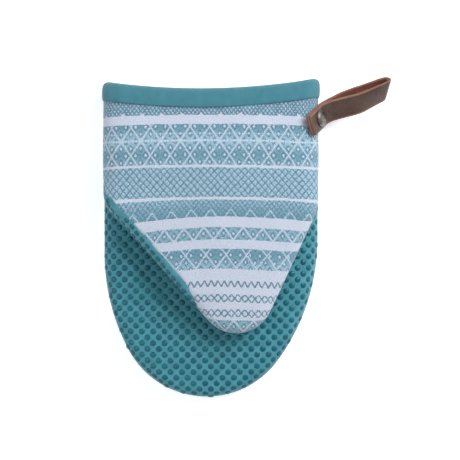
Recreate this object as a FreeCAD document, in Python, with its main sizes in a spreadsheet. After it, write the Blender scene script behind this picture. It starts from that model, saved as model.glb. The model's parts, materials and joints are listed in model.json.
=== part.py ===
"""A clamshell oven mitt: one wide finger pocket and a V-shaped thumb pocket that closes on it.

The mitt lies on its back. +X is across the hand, +Y runs from the finger tips to the cuff, +Z is up, and the
origin is on the floor under the middle of the mitt. Each wall is three layers: outer fabric, wadding, lining.
"""
import FreeCAD, Part
import math
import os
import Sketcher

from FreeCAD import Placement, Rotation, Vector

DIMENSIONS = {
    # outline of the mitt, seen from above
    "half_width": 70.0,
    "tip_reach": 103.5,
    "tip_round": 58.0,
    "tip_x": -3.0,
    "flank_round": 135.0,
    "open_reach": 106.0,
    # layers of every wall
    "outer_wall": 1.2,
    "wadding_wall": 2.8,
    "lining_wall": 1.0,
    # heights
    "seam_height": 9.0,
    "palm_height": 18.0,
    "thumb_base": 24.0,
    "thumb_seam": 33.0,
    "hinge_height": 42.0,
    "cuff_height": 32.0,
    "edge_round": 8.0,
    "shoulder_round": 12.0,
    "thumb_under_round": 6.5,
    # places along the mitt
    "crotch_place": 28.3,
    "hinge_place": 28.0,
    "thumb_end": 27.7,
    "web_half_width": 64.5,
    "web_top": 29.0,
    "web_lap": 2.0,
    # outline of the thumb
    "thumb_half_width": 69.5,
    "thumb_tip_x": 16.5,
    "thumb_tip_y": -37.0,
    "thumb_tip_round": 24.0,
    "thumb_left_slant": 48.5,
    "thumb_right_slant": 65.0,
    # cuff edge and its binding
    "scoop_round": 448.0,
    "scoop_low": 98.0,
    "binding_wall": 0.6,
    "binding_depth": 12.0,
    # silicone dots
    "dot_width": 3.9,
    "dot_height": 0.8,
    "dot_pitch": 7.55,
    "dot_margin": 9.5,
    # hanging strap and rivet
    "rivet_lean": 60.0,
    "rivet_y": 78.0,
    "strap_turn": 25.5,
    "strap_width": 14.0,
    "strap_wall": 2.4,
    "strap_gap": 0.3,
    "strap_tail": 9.0,
    "post_width": 4.0,
    "post_clearance": 0.08,
    "cap_width": 11.6,
    "cap_height": 2.2,
    "washer_width": 9.0,
    "washer_wall": 1.0,
}

# The three layers of a wall, with each one's depth below the surface and its own thickness.
LAYERS = {
    "panel": ("0", "Sizes.outer_wall"),
    "wadding": ("Sizes.outer_wall", "Sizes.wadding_wall"),
    "lining": ("(Sizes.outer_wall + Sizes.wadding_wall)", "Sizes.lining_wall"),
}

# Route of the hanging strap's middle line past its lower leaf and back to its upper leaf, in the rivet's
# own frame: distance along the strap, distance out from the cuff, radius of the bend there.
STRAP_BENDS = [
    (28.0, 6.8, 22.0),
    (46.5, 27.5, 3.9),
    (39.0, 35.0, 3.9),
    (20.0, 23.0, 16.0),
]
LOWER_LEAF_BEND = (10.0, 18.0)
UPPER_LEAF_BEND = (11.0, 9.0)

# Lengths that only have to reach past what they cut.
CUTTER_HEIGHT = 100.0
CUTTER_BASE = -20.0
HOLE_LENGTH = 30.0
OVERRUN = 5.0

MOST_LEFT = 0.6
TINY = 1e-4

doc = FreeCAD.newDocument("OvenMitt")
sizes = doc.addObject("Spreadsheet::Sheet", "Sizes")
for row, (alias, value) in enumerate(DIMENSIONS.items(), start=1):
    sizes.set(f"A{row}", alias)
    sizes.set(f"B{row}", str(value))
    sizes.setAlias(f"B{row}", alias)
doc.recompute()

subparts = []


def value_of(expression):
    """The number that an expression over the sheet gives now."""
    return float(sizes.evalExpression(expression))


def keep(label, thing):
    """Name a finished sub-part, so that it is checked and written."""
    thing.Label = label
    subparts.append(thing)
    return thing


# ---------------------------------------------------------------- sketches


def origin_plane(body, role):
    """One of a body's own origin planes."""
    return next(f for f in body.Origin.OriginFeatures if f.Role == role)


def new_sketch(body, name, role, height="0"):
    """An empty sketch on a body's own plane, raised to a height."""
    sketch = body.newObject("Sketcher::SketchObject", name)
    sketch.AttachmentSupport = [(origin_plane(body, role), "")]
    sketch.MapMode = "FlatFace"
    sketch.setExpression(".AttachmentOffset.Base.z", height)
    return sketch


def hold(sketch, kind, *where):
    """Add a constraint that has no value."""
    sketch.addConstraint(Sketcher.Constraint(kind, *where))


def bind(sketch, kind, where, value, expression):
    """Add a constraint with a value, and tie the value to the sheet."""
    number = sketch.addConstraint(Sketcher.Constraint(kind, *where, value))
    sketch.setExpression(f"Constraints[{number}]", expression)


def arc(centre, radius, start, end):
    """An arc in the sketch plane, counter-clockwise between two angles in radians."""
    circle = Part.Circle(Vector(centre[0], centre[1], 0), Vector(0, 0, 1), radius)
    return Part.ArcOfCircle(circle, start, end)


def line(start, end):
    """A straight edge in the sketch plane."""
    return Part.LineSegment(Vector(start[0], start[1], 0), Vector(end[0], end[1], 0))


def mitt_outline(sketch, inset, reach):
    """The rounded outline of the whole mitt, drawn in by inset and ending at reach along +Y."""
    depth = value_of(inset)
    top = value_of(reach)
    half = DIMENSIONS["half_width"] - depth
    tip_radius = DIMENSIONS["tip_round"] - depth
    flank_radius = DIMENSIONS["flank_round"] - depth
    tip_centre = (DIMENSIONS["tip_x"], DIMENSIONS["tip_round"] - DIMENSIONS["tip_reach"])
    flank_x = DIMENSIONS["flank_round"] - DIMENSIONS["half_width"]
    between = DIMENSIONS["flank_round"] - DIMENSIONS["tip_round"]
    left_turn = math.acos((flank_x - tip_centre[0]) / between)
    right_turn = math.acos((flank_x + tip_centre[0]) / between)
    left_y = tip_centre[1] + between * math.sin(left_turn)
    right_y = tip_centre[1] + between * math.sin(right_turn)

    sketch.addGeometry(line((half, top), (half, right_y)))
    sketch.addGeometry(arc((-flank_x, right_y), flank_radius, -right_turn, 0.0))
    sketch.addGeometry(arc(tip_centre, tip_radius, math.pi + left_turn, 2 * math.pi - right_turn))
    sketch.addGeometry(arc((flank_x, left_y), flank_radius, math.pi, math.pi + left_turn))
    sketch.addGeometry(line((-half, left_y), (-half, top)))
    sketch.addGeometry(line((-half, top), (half, top)))

    hold(sketch, "Vertical", 0)
    hold(sketch, "Vertical", 4)
    hold(sketch, "Coincident", 5, 2, 0, 1)
    hold(sketch, "Coincident", 5, 1, 4, 2)
    hold(sketch, "Tangent", 0, 2, 1, 2)
    hold(sketch, "Tangent", 1, 1, 2, 2)
    hold(sketch, "Tangent", 2, 1, 3, 2)
    hold(sketch, "Tangent", 3, 1, 4, 1)
    hold(sketch, "Symmetric", 5, 1, 5, 2, -2)
    hold(sketch, "Equal", 1, 3)
    bind(sketch, "DistanceX", (-1, 1, 2, 3), tip_centre[0], "Sizes.tip_x")
    bind(sketch, "DistanceY", (-1, 1, 2, 3), tip_centre[1], "Sizes.tip_round - Sizes.tip_reach")
    bind(sketch, "Radius", (2,), tip_radius, f"Sizes.tip_round - {inset}")
    bind(sketch, "Radius", (1,), flank_radius, f"Sizes.flank_round - {inset}")
    bind(sketch, "DistanceY", (-1, 1, 5, 1), top, reach)


def thumb_outline(sketch, inset, reach):
    """The V-shaped outline of the thumb pocket, drawn in by inset and ending at reach along +Y."""
    depth = value_of(inset)
    base = value_of(reach)
    half = DIMENSIONS["thumb_half_width"] - depth
    radius = DIMENSIONS["thumb_tip_round"] - depth
    centre = (DIMENSIONS["thumb_tip_x"], DIMENSIONS["thumb_tip_y"])
    left = math.radians(DIMENSIONS["thumb_left_slant"])
    right = math.radians(DIMENSIONS["thumb_right_slant"])
    left_y = centre[1] + ((half + centre[0]) * math.sin(left) - radius) / math.cos(left)
    right_y = centre[1] + ((half - centre[0]) * math.sin(right) - radius) / math.cos(right)
    left_touch = (centre[0] - radius * math.sin(left), centre[1] - radius * math.cos(left))
    right_touch = (centre[0] + radius * math.sin(right), centre[1] - radius * math.cos(right))

    sketch.addGeometry(line((-half, base), (half, base)))
    sketch.addGeometry(line((half, base), (half, right_y)))
    sketch.addGeometry(line((half, right_y), right_touch))
    sketch.addGeometry(arc(centre, radius, 1.5 * math.pi - left, 1.5 * math.pi + right))
    sketch.addGeometry(line(left_touch, (-half, left_y)))
    sketch.addGeometry(line((-half, left_y), (-half, base)))

    hold(sketch, "Horizontal", 0)
    hold(sketch, "Vertical", 1)
    hold(sketch, "Vertical", 5)
    hold(sketch, "Coincident", 0, 2, 1, 1)
    hold(sketch, "Coincident", 1, 2, 2, 1)
    hold(sketch, "Tangent", 2, 2, 3, 2)
    hold(sketch, "Tangent", 3, 1, 4, 1)
    hold(sketch, "Coincident", 4, 2, 5, 1)
    hold(sketch, "Coincident", 5, 2, 0, 1)
    bind(sketch, "DistanceX", (-1, 1, 3, 3), centre[0], "Sizes.thumb_tip_x")
    bind(sketch, "DistanceY", (-1, 1, 3, 3), centre[1], "Sizes.thumb_tip_y")
    bind(sketch, "Radius", (3,), radius, f"Sizes.thumb_tip_round - {inset}")
    bind(sketch, "DistanceY", (-1, 1, 0, 1), base, reach)
    bind(sketch, "DistanceX", (0, 1, -1, 1), half, f"Sizes.thumb_half_width - {inset}")
    bind(sketch, "DistanceX", (-1, 1, 0, 2), half, f"Sizes.thumb_half_width - {inset}")
    bind(sketch, "Angle", (-1, 1, 4, 1), math.pi - left, "180 - Sizes.thumb_left_slant")
    bind(sketch, "Angle", (-1, 1, 2, 2), right, "Sizes.thumb_right_slant")


# ---------------------------------------------------------------- pockets: trays and lids


def edges_at_height(shape, height, open_end):
    """The names of the edges at one height, without the straight one across the open end."""
    names = []
    for number, edge in enumerate(shape.Edges, start=1):
        box = edge.BoundBox
        flat = abs(box.ZMin - height) < 1e-3 and abs(box.ZMax - height) < 1e-3
        across_end = box.YLength < 1e-3 and abs(box.YMin - open_end) < 1e-3
        if flat and not across_end:
            names.append(f"Edge{number}")
    return names


def round_edges(body, feature, height, open_end, radius):
    """Round the closed edge of a tray or lid at one height."""
    fillet = body.newObject("PartDesign::Fillet", "Rounding")
    fillet.Base = (feature, edges_at_height(feature.Shape, height, open_end))
    fillet.Radius = value_of(radius)
    fillet.setExpression("Radius", radius)
    doc.recompute()
    return fillet


def half_shell(name, outline, depth, wall, floor, rim, reach, rounding, lid=False):
    """One layer of a pocket: a tray whose floor is below its rim, or a lid whose top is above it."""
    body = doc.addObject("PartDesign::Body", name)
    side = "-" if lid else "+"
    inner = f"({depth} + {wall})"
    face = f"{floor} {side} {depth}"
    inside = f"{floor} {side} {depth} {side} {wall}"

    outer = new_sketch(body, "Outer", "XY_Plane", rim)
    outline(outer, depth, reach)
    pad = body.newObject("PartDesign::Pad", "Block")
    pad.Profile = outer
    pad.Reversed = not lid
    span = f"{floor} - {depth} - {rim}" if lid else f"{rim} - {floor} - {depth}"
    pad.setExpression("Length", span)
    doc.recompute()

    hollow = new_sketch(body, "Hollow", "XY_Plane", inside)
    outline(hollow, inner, f"{reach} + {OVERRUN}")
    pocket = body.newObject("PartDesign::Pocket", "Cavity")
    pocket.Profile = hollow
    pocket.Type = 1
    pocket.Reversed = not lid
    doc.recompute()
    if pocket.Shape.Volume > MOST_LEFT * pad.Shape.Volume:
        raise RuntimeError(f"{name}: the cavity cut too little")
    within = round_edges(body, pocket, value_of(inside), value_of(reach), f"{rounding} - {inner}")
    body.Tip = round_edges(body, within, value_of(face), value_of(reach), f"{rounding} - {depth}")
    doc.recompute()
    return body


# ---------------------------------------------------------------- cuff: arches and tubes


def arch_outline(sketch, inset, height, foot):
    """A cross-section of the cuff's front: two feet, two sides and a top with round shoulders."""
    depth = value_of(inset)
    half = DIMENSIONS["half_width"] - depth
    radius = DIMENSIONS["shoulder_round"] - depth
    top = value_of(height) - depth
    low = value_of(foot)
    corner = half - radius

    sketch.addGeometry(line((-half, low), (half, low)))
    sketch.addGeometry(line((half, low), (half, top - radius)))
    sketch.addGeometry(arc((corner, top - radius), radius, 0.0, math.pi / 2))
    sketch.addGeometry(line((corner, top), (-corner, top)))
    sketch.addGeometry(arc((-corner, top - radius), radius, math.pi / 2, math.pi))
    sketch.addGeometry(line((-half, top - radius), (-half, low)))

    hold(sketch, "Vertical", 1)
    hold(sketch, "Vertical", 5)
    hold(sketch, "Horizontal", 3)
    hold(sketch, "Coincident", 0, 2, 1, 1)
    hold(sketch, "Tangent", 1, 2, 2, 1)
    hold(sketch, "Tangent", 2, 2, 3, 1)
    hold(sketch, "Tangent", 3, 2, 4, 1)
    hold(sketch, "Tangent", 4, 2, 5, 1)
    hold(sketch, "Coincident", 5, 2, 0, 1)
    hold(sketch, "Equal", 2, 4)
    hold(sketch, "Symmetric", 0, 1, 0, 2, -2)
    bind(sketch, "DistanceY", (-1, 1, 0, 1), low, foot)
    bind(sketch, "DistanceX", (-1, 1, 0, 2), half, f"Sizes.half_width - {inset}")
    bind(sketch, "Radius", (2,), radius, f"Sizes.shoulder_round - {inset}")
    bind(sketch, "DistanceY", (-1, 1, 3, 1), top, f"{height} - {inset}")


def tube_outline(sketch, inset, height, foot):
    """A whole cross-section of the cuff: a flat rounded tube, for the binding."""
    depth = value_of(inset)
    half = DIMENSIONS["half_width"] - depth
    upper = DIMENSIONS["shoulder_round"] - depth
    lower = DIMENSIONS["edge_round"] - depth
    top = value_of(height) - depth
    low = value_of(foot)

    sketch.addGeometry(line((lower - half, low), (half - lower, low)))
    sketch.addGeometry(arc((half - lower, low + lower), lower, 1.5 * math.pi, 2 * math.pi))
    sketch.addGeometry(line((half, low + lower), (half, top - upper)))
    sketch.addGeometry(arc((half - upper, top - upper), upper, 0.0, math.pi / 2))
    sketch.addGeometry(line((half - upper, top), (upper - half, top)))
    sketch.addGeometry(arc((upper - half, top - upper), upper, math.pi / 2, math.pi))
    sketch.addGeometry(line((-half, top - upper), (-half, low + lower)))
    sketch.addGeometry(arc((lower - half, low + lower), lower, math.pi, 1.5 * math.pi))

    for straight in (0, 4):
        hold(sketch, "Horizontal", straight)
    for straight in (2, 6):
        hold(sketch, "Vertical", straight)
    for corner in range(8):
        hold(sketch, "Tangent", corner, 2, (corner + 1) % 8, 1)
    hold(sketch, "Equal", 1, 7)
    hold(sketch, "Equal", 3, 5)
    bind(sketch, "DistanceY", (-1, 1, 0, 1), low, foot)
    bind(sketch, "DistanceX", (-1, 1, 2, 1), half, f"Sizes.half_width - {inset}")
    bind(sketch, "DistanceX", (6, 1, -1, 1), half, f"Sizes.half_width - {inset}")
    bind(sketch, "Radius", (1,), lower, f"Sizes.edge_round - {inset}")
    bind(sketch, "Radius", (3,), upper, f"Sizes.shoulder_round - {inset}")
    bind(sketch, "DistanceY", (-1, 1, 4, 1), top, f"{height} - {inset}")


def loft_between(body, outline, inset, foot, kind):
    """Loft one skin of the cuff from the hinge to past the open edge."""
    sections = []
    for place, height in (("Sizes.crotch_place", "Sizes.hinge_height"), ("Sizes.open_reach", "Sizes.cuff_height")):
        sketch = new_sketch(body, "Section", "XZ_Plane", f"0 - {place}")
        outline(sketch, inset, height, foot)
        sections.append(sketch)
    loft = body.newObject(f"PartDesign::{kind}", "Skin")
    loft.Profile = sections[0]
    loft.Sections = sections[1:]
    loft.Ruled = True
    doc.recompute()
    return loft


def cuff_shell(name, outline, outer, outer_foot, inner, inner_foot):
    """A hollow length of cuff between two skins."""
    body = doc.addObject("PartDesign::Body", name)
    whole = loft_between(body, outline, outer, outer_foot, "AdditiveLoft").Shape.Volume
    hollow = loft_between(body, outline, inner, inner_foot, "SubtractiveLoft")
    if hollow.Shape.Volume > MOST_LEFT * whole:
        raise RuntimeError(f"{name}: the inside was not cut out")
    body.Tip = hollow
    doc.recompute()
    return body


# ---------------------------------------------------------------- booleans and cutters


def boolean(kind, name, base, tool):
    """Part::Cut or Part::Common of two objects."""
    result = doc.addObject(f"Part::{kind}", name)
    result.Base = base
    result.Tool = tool
    doc.recompute()
    return result


def fuse(name, *things):
    """Several objects as one solid."""
    result = doc.addObject("Part::MultiFuse", name)
    result.Shapes = list(things)
    result.Refine = True
    doc.recompute()
    return result


def edge_cylinder(name, growth):
    """A tall cylinder whose near side is the scooped edge of the cuff, moved out by growth."""
    cylinder = doc.addObject("Part::Cylinder", name)
    cylinder.setExpression("Radius", f"Sizes.scoop_round + {growth}")
    cylinder.Height = CUTTER_HEIGHT
    cylinder.setExpression(".Placement.Base.y", "Sizes.scoop_low + Sizes.scoop_round")
    cylinder.Placement.Base.z = CUTTER_BASE
    doc.recompute()
    return cylinder


def box(name, low_x, wide, low_y, deep, low_z, high):
    """A box from expressions for its corner and its sides."""
    block = doc.addObject("Part::Box", name)
    block.setExpression("Length", wide)
    block.setExpression("Width", deep)
    block.setExpression("Height", high)
    block.setExpression(".Placement.Base.x", low_x)
    block.setExpression(".Placement.Base.y", low_y)
    block.setExpression(".Placement.Base.z", low_z)
    doc.recompute()
    return block


# ---------------------------------------------------------------- the rivet's own frame


def on_shoulder():
    """The point where the rivet meets the cuff's round shoulder, and the frame of the strap there.

    X runs along the strap, Y out along the rivet, Z across the strap.
    """
    lean = math.radians(DIMENSIONS["rivet_lean"])
    turn = math.radians(DIMENSIONS["strap_turn"])
    length = DIMENSIONS["open_reach"] - DIMENSIONS["crotch_place"]
    slope = (DIMENSIONS["hinge_height"] - DIMENSIONS["cuff_height"]) / length
    top = DIMENSIONS["hinge_height"] - slope * (DIMENSIONS["rivet_y"] - DIMENSIONS["crotch_place"])
    radius = DIMENSIONS["shoulder_round"]
    centre = Vector(DIMENSIONS["half_width"] - radius, DIMENSIONS["rivet_y"], top - radius)
    place = centre + Vector(math.sin(lean), 0, math.cos(lean)) * radius
    out = Vector(math.sin(lean), slope * math.cos(lean), math.cos(lean)).normalize()
    down = Vector(math.cos(lean), 0, -math.sin(lean))
    along = down * math.cos(turn) + out.cross(down) * math.sin(turn)
    print("rivet at", place, "along", out)
    return Placement(place, Rotation(along, out, along.cross(out), "ZXY"))


RIVET = on_shoulder()


def turned(name, profile):
    """A body turned about the rivet's axis from a closed profile of (radius, height, ...) expressions."""
    body = doc.addObject("PartDesign::Body", name)
    sketch = new_sketch(body, "Profile", "XY_Plane")
    points = [(value_of(x), value_of(y)) for x, y in profile]
    count = len(points)
    for index, point in enumerate(points):
        sketch.addGeometry(line(point, points[(index + 1) % count]))
    for index in range(count):
        hold(sketch, "Coincident", index, 2, (index + 1) % count, 1)
    for index, (x, y) in enumerate(profile):
        if abs(points[index][0]) < TINY:
            hold(sketch, "PointOnObject", index, 1, -2)
        else:
            bind(sketch, "DistanceX", (-1, 1, index, 1), points[index][0], x)
        bind(sketch, "DistanceY", (-1, 1, index, 1), points[index][1], y)
    solid = body.newObject("PartDesign::Revolution", "Turned")
    solid.Profile = sketch
    solid.ReferenceAxis = (sketch, ["V_Axis"])
    solid.Angle = 360
    body.Placement = RIVET
    body.Tip = solid
    doc.recompute()
    return body


# ---------------------------------------------------------------- the sub-parts


def make_binding():
    """Plain fabric folded over the cuff's edge: an outer leaf, an inner leaf and the fold between them."""
    whole_wall = "(Sizes.outer_wall + Sizes.wadding_wall + Sizes.lining_wall)"
    bound_wall = f"({whole_wall} + Sizes.binding_wall)"
    tube = cuff_shell("BindingTube", tube_outline, "(0 - Sizes.binding_wall)", "0", bound_wall, bound_wall)
    core = cuff_shell("BindingCore", tube_outline, "0", "Sizes.binding_wall", whole_wall, whole_wall)
    core = boolean("Cut", "BindingCoreCut", core, edge_cylinder("FoldLine", "Sizes.binding_wall"))
    band = boolean("Common", "BindingBand", tube, edge_cylinder("BandLine", "Sizes.binding_depth"))
    band = boolean("Cut", "BindingEdge", band, edge_cylinder("EdgeLine", "0"))
    return keep("cuff_binding", boolean("Cut", "Binding", band, core))


def rivet_hole():
    """The hole that the rivet's post makes through the cuff's side."""
    hole = doc.addObject("Part::Cylinder", "RivetHole")
    hole.setExpression("Radius", "Sizes.post_width / 2")
    hole.Height = HOLE_LENGTH
    start = Vector(0, -HOLE_LENGTH / 2, 0)
    hole.Placement = RIVET.multiply(Placement(start, Rotation(Vector(1, 0, 0), -90)))
    doc.recompute()
    return hole


def make_back(layer, scoop, binding):
    """One layer of the back wall, from the finger tips to the cuff."""
    depth, wall = LAYERS[layer]
    tray = half_shell(f"Back{layer}", mitt_outline, depth, wall, "0", "Sizes.seam_height",
                      "Sizes.open_reach", "Sizes.edge_round")
    trimmed = boolean("Cut", f"BackTrimmed{layer}", tray, scoop)
    if layer != "wadding":
        trimmed = boolean("Cut", f"BackBound{layer}", trimmed, binding)
    return keep(f"back_{layer}", trimmed)


def make_cuff_front(layer, scoop, hole, washer):
    """One layer of the cuff's front, from the hinge to the open edge. The washer is pressed into the lining."""
    depth, wall = LAYERS[layer]
    arch = cuff_shell(f"Cuff{layer}", arch_outline, depth, "Sizes.seam_height",
                      f"({depth} + {wall})", "Sizes.seam_height")
    trimmed = boolean("Cut", f"CuffTrimmed{layer}", arch, scoop)
    if layer == "lining":
        trimmed = boolean("Cut", f"CuffPressed{layer}", trimmed, washer)
    return keep(f"cuff_front_{layer}", boolean("Cut", f"CuffPierced{layer}", trimmed, hole))


def make_finger_grip(layer):
    """One layer of the palm side of the finger pocket, turned up at the crotch into a web."""
    depth, wall = LAYERS[layer]
    lid = half_shell(f"Palm{layer}", mitt_outline, depth, wall, "Sizes.palm_height",
                     "Sizes.seam_height", "Sizes.hinge_place", "Sizes.edge_round", lid=True)
    wide = "2 * Sizes.web_half_width"
    low_x = "0 - Sizes.web_half_width"
    low_z = f"Sizes.palm_height - {depth} - {wall}"
    lap = box(f"Lap{layer}", low_x, wide, "Sizes.hinge_place - Sizes.web_lap",
              f"Sizes.crotch_place - Sizes.hinge_place + Sizes.web_lap + {depth} + {wall}", low_z, wall)
    web = box(f"Web{layer}", low_x, wide, f"Sizes.crotch_place + {depth}", wall, low_z,
              f"Sizes.web_top - Sizes.palm_height + {depth} + {wall}")
    return keep(f"finger_grip_{layer}", fuse(f"Palm{layer}Whole", lid, lap, web))


def make_thumb(layer):
    """One layer of the thumb pocket: its grip side below and its front above."""
    depth, wall = LAYERS[layer]
    under = half_shell(f"ThumbUnder{layer}", thumb_outline, depth, wall, "Sizes.thumb_base",
                       "Sizes.thumb_seam", "Sizes.thumb_end", "Sizes.thumb_under_round")
    over = half_shell(f"ThumbOver{layer}", thumb_outline, depth, wall, "Sizes.hinge_height",
                      "Sizes.thumb_seam", "Sizes.thumb_end", "Sizes.edge_round", lid=True)
    keep(f"thumb_grip_{layer}", under)
    keep(f"thumb_front_{layer}", over)


def inside_outline(outline, margin, place):
    """A flat face of an outline drawn in by margin, to choose where dots go."""
    body = doc.addObject("PartDesign::Body", "DotField")
    sketch = new_sketch(body, "Field", "XY_Plane")
    outline(sketch, margin, place)
    doc.recompute()
    return Part.Face(sketch.Shape.Wires[0])


def make_dots(label, outline, place, level, height):
    """Silicone dots on a square lattice with one more in the middle of each square, as separate solids."""
    field = inside_outline(outline, "Sizes.dot_margin", f"{place} - Sizes.dot_margin")
    pitch = DIMENSIONS["dot_pitch"]
    reach = int(DIMENSIONS["tip_reach"] / pitch) + 1
    dots = []
    for half_row in range(-2 * reach, 2 * reach + 1):
        shift = pitch / 2 if half_row % 2 else 0.0
        for column in range(-reach, reach + 1):
            spot = Vector(column * pitch + shift, half_row * pitch / 2, 0)
            if field.isInside(spot, TINY, True):
                spot.z = level
                dots.append(Part.makeCylinder(DIMENSIONS["dot_width"] / 2, height, spot))
    group = doc.addObject("Part::Feature", label)
    group.Shape = Part.makeCompound(dots)
    print(label, len(dots), "dots")
    return keep(label, group)


def make_rivet():
    """Domed cap outside, post through strap and cuff, washer inside. Gives back the washer."""
    under_cap = "(2 * Sizes.strap_wall + 3 * Sizes.strap_gap)"
    inside = "(0 - Sizes.outer_wall - Sizes.wadding_wall - Sizes.lining_wall - Sizes.binding_wall)"
    keep("rivet_cap", turned("Cap", [
        ("0", under_cap),
        ("Sizes.cap_width / 2", under_cap),
        ("Sizes.cap_width / 2", f"{under_cap} + Sizes.cap_height * 0.32"),
        ("Sizes.cap_width * 0.43", f"{under_cap} + Sizes.cap_height * 0.64"),
        ("Sizes.cap_width * 0.28", f"{under_cap} + Sizes.cap_height * 0.9"),
        ("0", f"{under_cap} + Sizes.cap_height"),
    ]))
    keep("rivet_post", turned("Post", [
        ("0", inside),
        ("Sizes.post_width / 2", inside),
        ("Sizes.post_width / 2", under_cap),
        ("0", under_cap),
    ]))
    return keep("rivet_washer", turned("Washer", [
        ("0", f"{inside} - Sizes.washer_wall"),
        ("Sizes.washer_width / 2", f"{inside} - Sizes.washer_wall"),
        ("Sizes.washer_width / 2", inside),
        ("0", inside),
    ]))


def bent_path(corners):
    """Straight runs joined by tangent arcs, as a wire in the XY plane, from (x, y, radius) corners."""
    points = [Vector(x, y, 0) for x, y, radius in corners]
    edges = []
    start = points[0]
    for number in range(1, len(points) - 1):
        corner = points[number]
        radius = corners[number][2]
        into = (points[number - 1] - corner).normalize()
        away = (points[number + 1] - corner).normalize()
        half_angle = into.getAngle(away) / 2
        first = corner + into * (radius / math.tan(half_angle))
        last = corner + away * (radius / math.tan(half_angle))
        middle = corner + (into + away).normalize() * (radius / math.sin(half_angle) - radius)
        edges.append(Part.makeLine(start, first))
        edges.append(Part.Arc(first, middle, last).toShape())
        start = last
    edges.append(Part.makeLine(start, points[-1]))
    return Part.Wire(edges)


def make_strap():
    """One leather strip folded into a loop, both ends stacked under the rivet's cap."""
    wall = DIMENSIONS["strap_wall"]
    wide = DIMENSIONS["strap_width"]
    tail = DIMENSIONS["strap_tail"]
    lower = DIMENSIONS["strap_gap"] + wall / 2
    upper = lower + wall + DIMENSIONS["strap_gap"]
    # The strip's middle line: out along the lower leaf, round the fold, back along the upper leaf.
    lower_place, lower_radius = LOWER_LEAF_BEND
    upper_place, upper_radius = UPPER_LEAF_BEND
    path = bent_path([
        (-tail, lower, 0),
        (lower_place, lower, lower_radius),
        *STRAP_BENDS,
        (upper_place, upper, upper_radius),
        (-tail, upper, 0),
    ])
    low, high = lower - wall / 2, lower + wall / 2
    corners = [(low, -wide / 2), (high, -wide / 2), (high, wide / 2), (low, wide / 2), (low, -wide / 2)]
    profile = Part.makePolygon([Vector(-tail, y, z) for y, z in corners])
    strip = path.makePipeShell([profile], True, False)
    radius = DIMENSIONS["post_width"] / 2 + DIMENSIONS["post_clearance"]
    hole = Part.makeCylinder(radius, HOLE_LENGTH, Vector(0, -OVERRUN, 0), Vector(0, 1, 0))
    strap = doc.addObject("Part::Feature", "hanging_strap")
    strap.Shape = strip.cut(hole)
    strap.Placement = RIVET
    print("strap length", round(path.Length, 1), "volume", round(strip.Volume), "expected",
          round(path.Length * wall * wide))
    return keep("hanging_strap", strap)


binding = make_binding()
fold_line = edge_cylinder("LayerEdge", "Sizes.binding_wall")
hole = rivet_hole()
washer = make_rivet()
for layer_name in LAYERS:
    make_back(layer_name, fold_line, binding)
    make_cuff_front(layer_name, fold_line, hole, washer)
    make_finger_grip(layer_name)
    make_thumb(layer_name)
make_dots("finger_grip_dots", mitt_outline, "Sizes.hinge_place", DIMENSIONS["palm_height"],
          DIMENSIONS["dot_height"])
make_dots("thumb_grip_dots", thumb_outline, "Sizes.thumb_end",
          DIMENSIONS["thumb_base"] - DIMENSIONS["dot_height"], DIMENSIONS["dot_height"])
make_strap()

doc.recompute()
for thing in doc.Objects:
    if "Invalid" in thing.State or "Error" in thing.State:
        raise RuntimeError(f"{thing.Name} failed: {thing.State}")
for thing in subparts:
    if thing.Shape.isNull() or not thing.Shape.isValid():
        raise RuntimeError(f"{thing.Label} has no valid shape")

os.makedirs("parts", exist_ok=True)
for thing in subparts:
    thing.Shape.exportStep(f"parts/{thing.Label}.step")
    box_of = thing.Shape.BoundBox
    print(f"{thing.Label:22s} {len(thing.Shape.Solids):4d} solids {thing.Shape.Volume:10.1f} mm3",
          [round(v, 1) for v in (box_of.XMin, box_of.XMax, box_of.YMin, box_of.YMax, box_of.ZMin, box_of.ZMax)])
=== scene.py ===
"""Looks of a clamshell oven mitt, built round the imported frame.

The cloth is cut as flat panels (front, back, finger grip, thumb grip), each one a mesh of even triangles
whose flat coordinates stay with it as the UV map "cloth". The panels are wrapped round the mitt, sewn along
shared seams, puffed up by a cloth simulation with the seams held, and then taken apart again into pieces.
Metres, +Z up, +Y from the finger tips to the cuff.
"""
import json
import math

import bmesh
import bpy
import numpy as np
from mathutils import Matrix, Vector, noise
from mathutils.bvhtree import BVHTree
from mathutils.geometry import barycentric_transform, delaunay_2d_cdt


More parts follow.
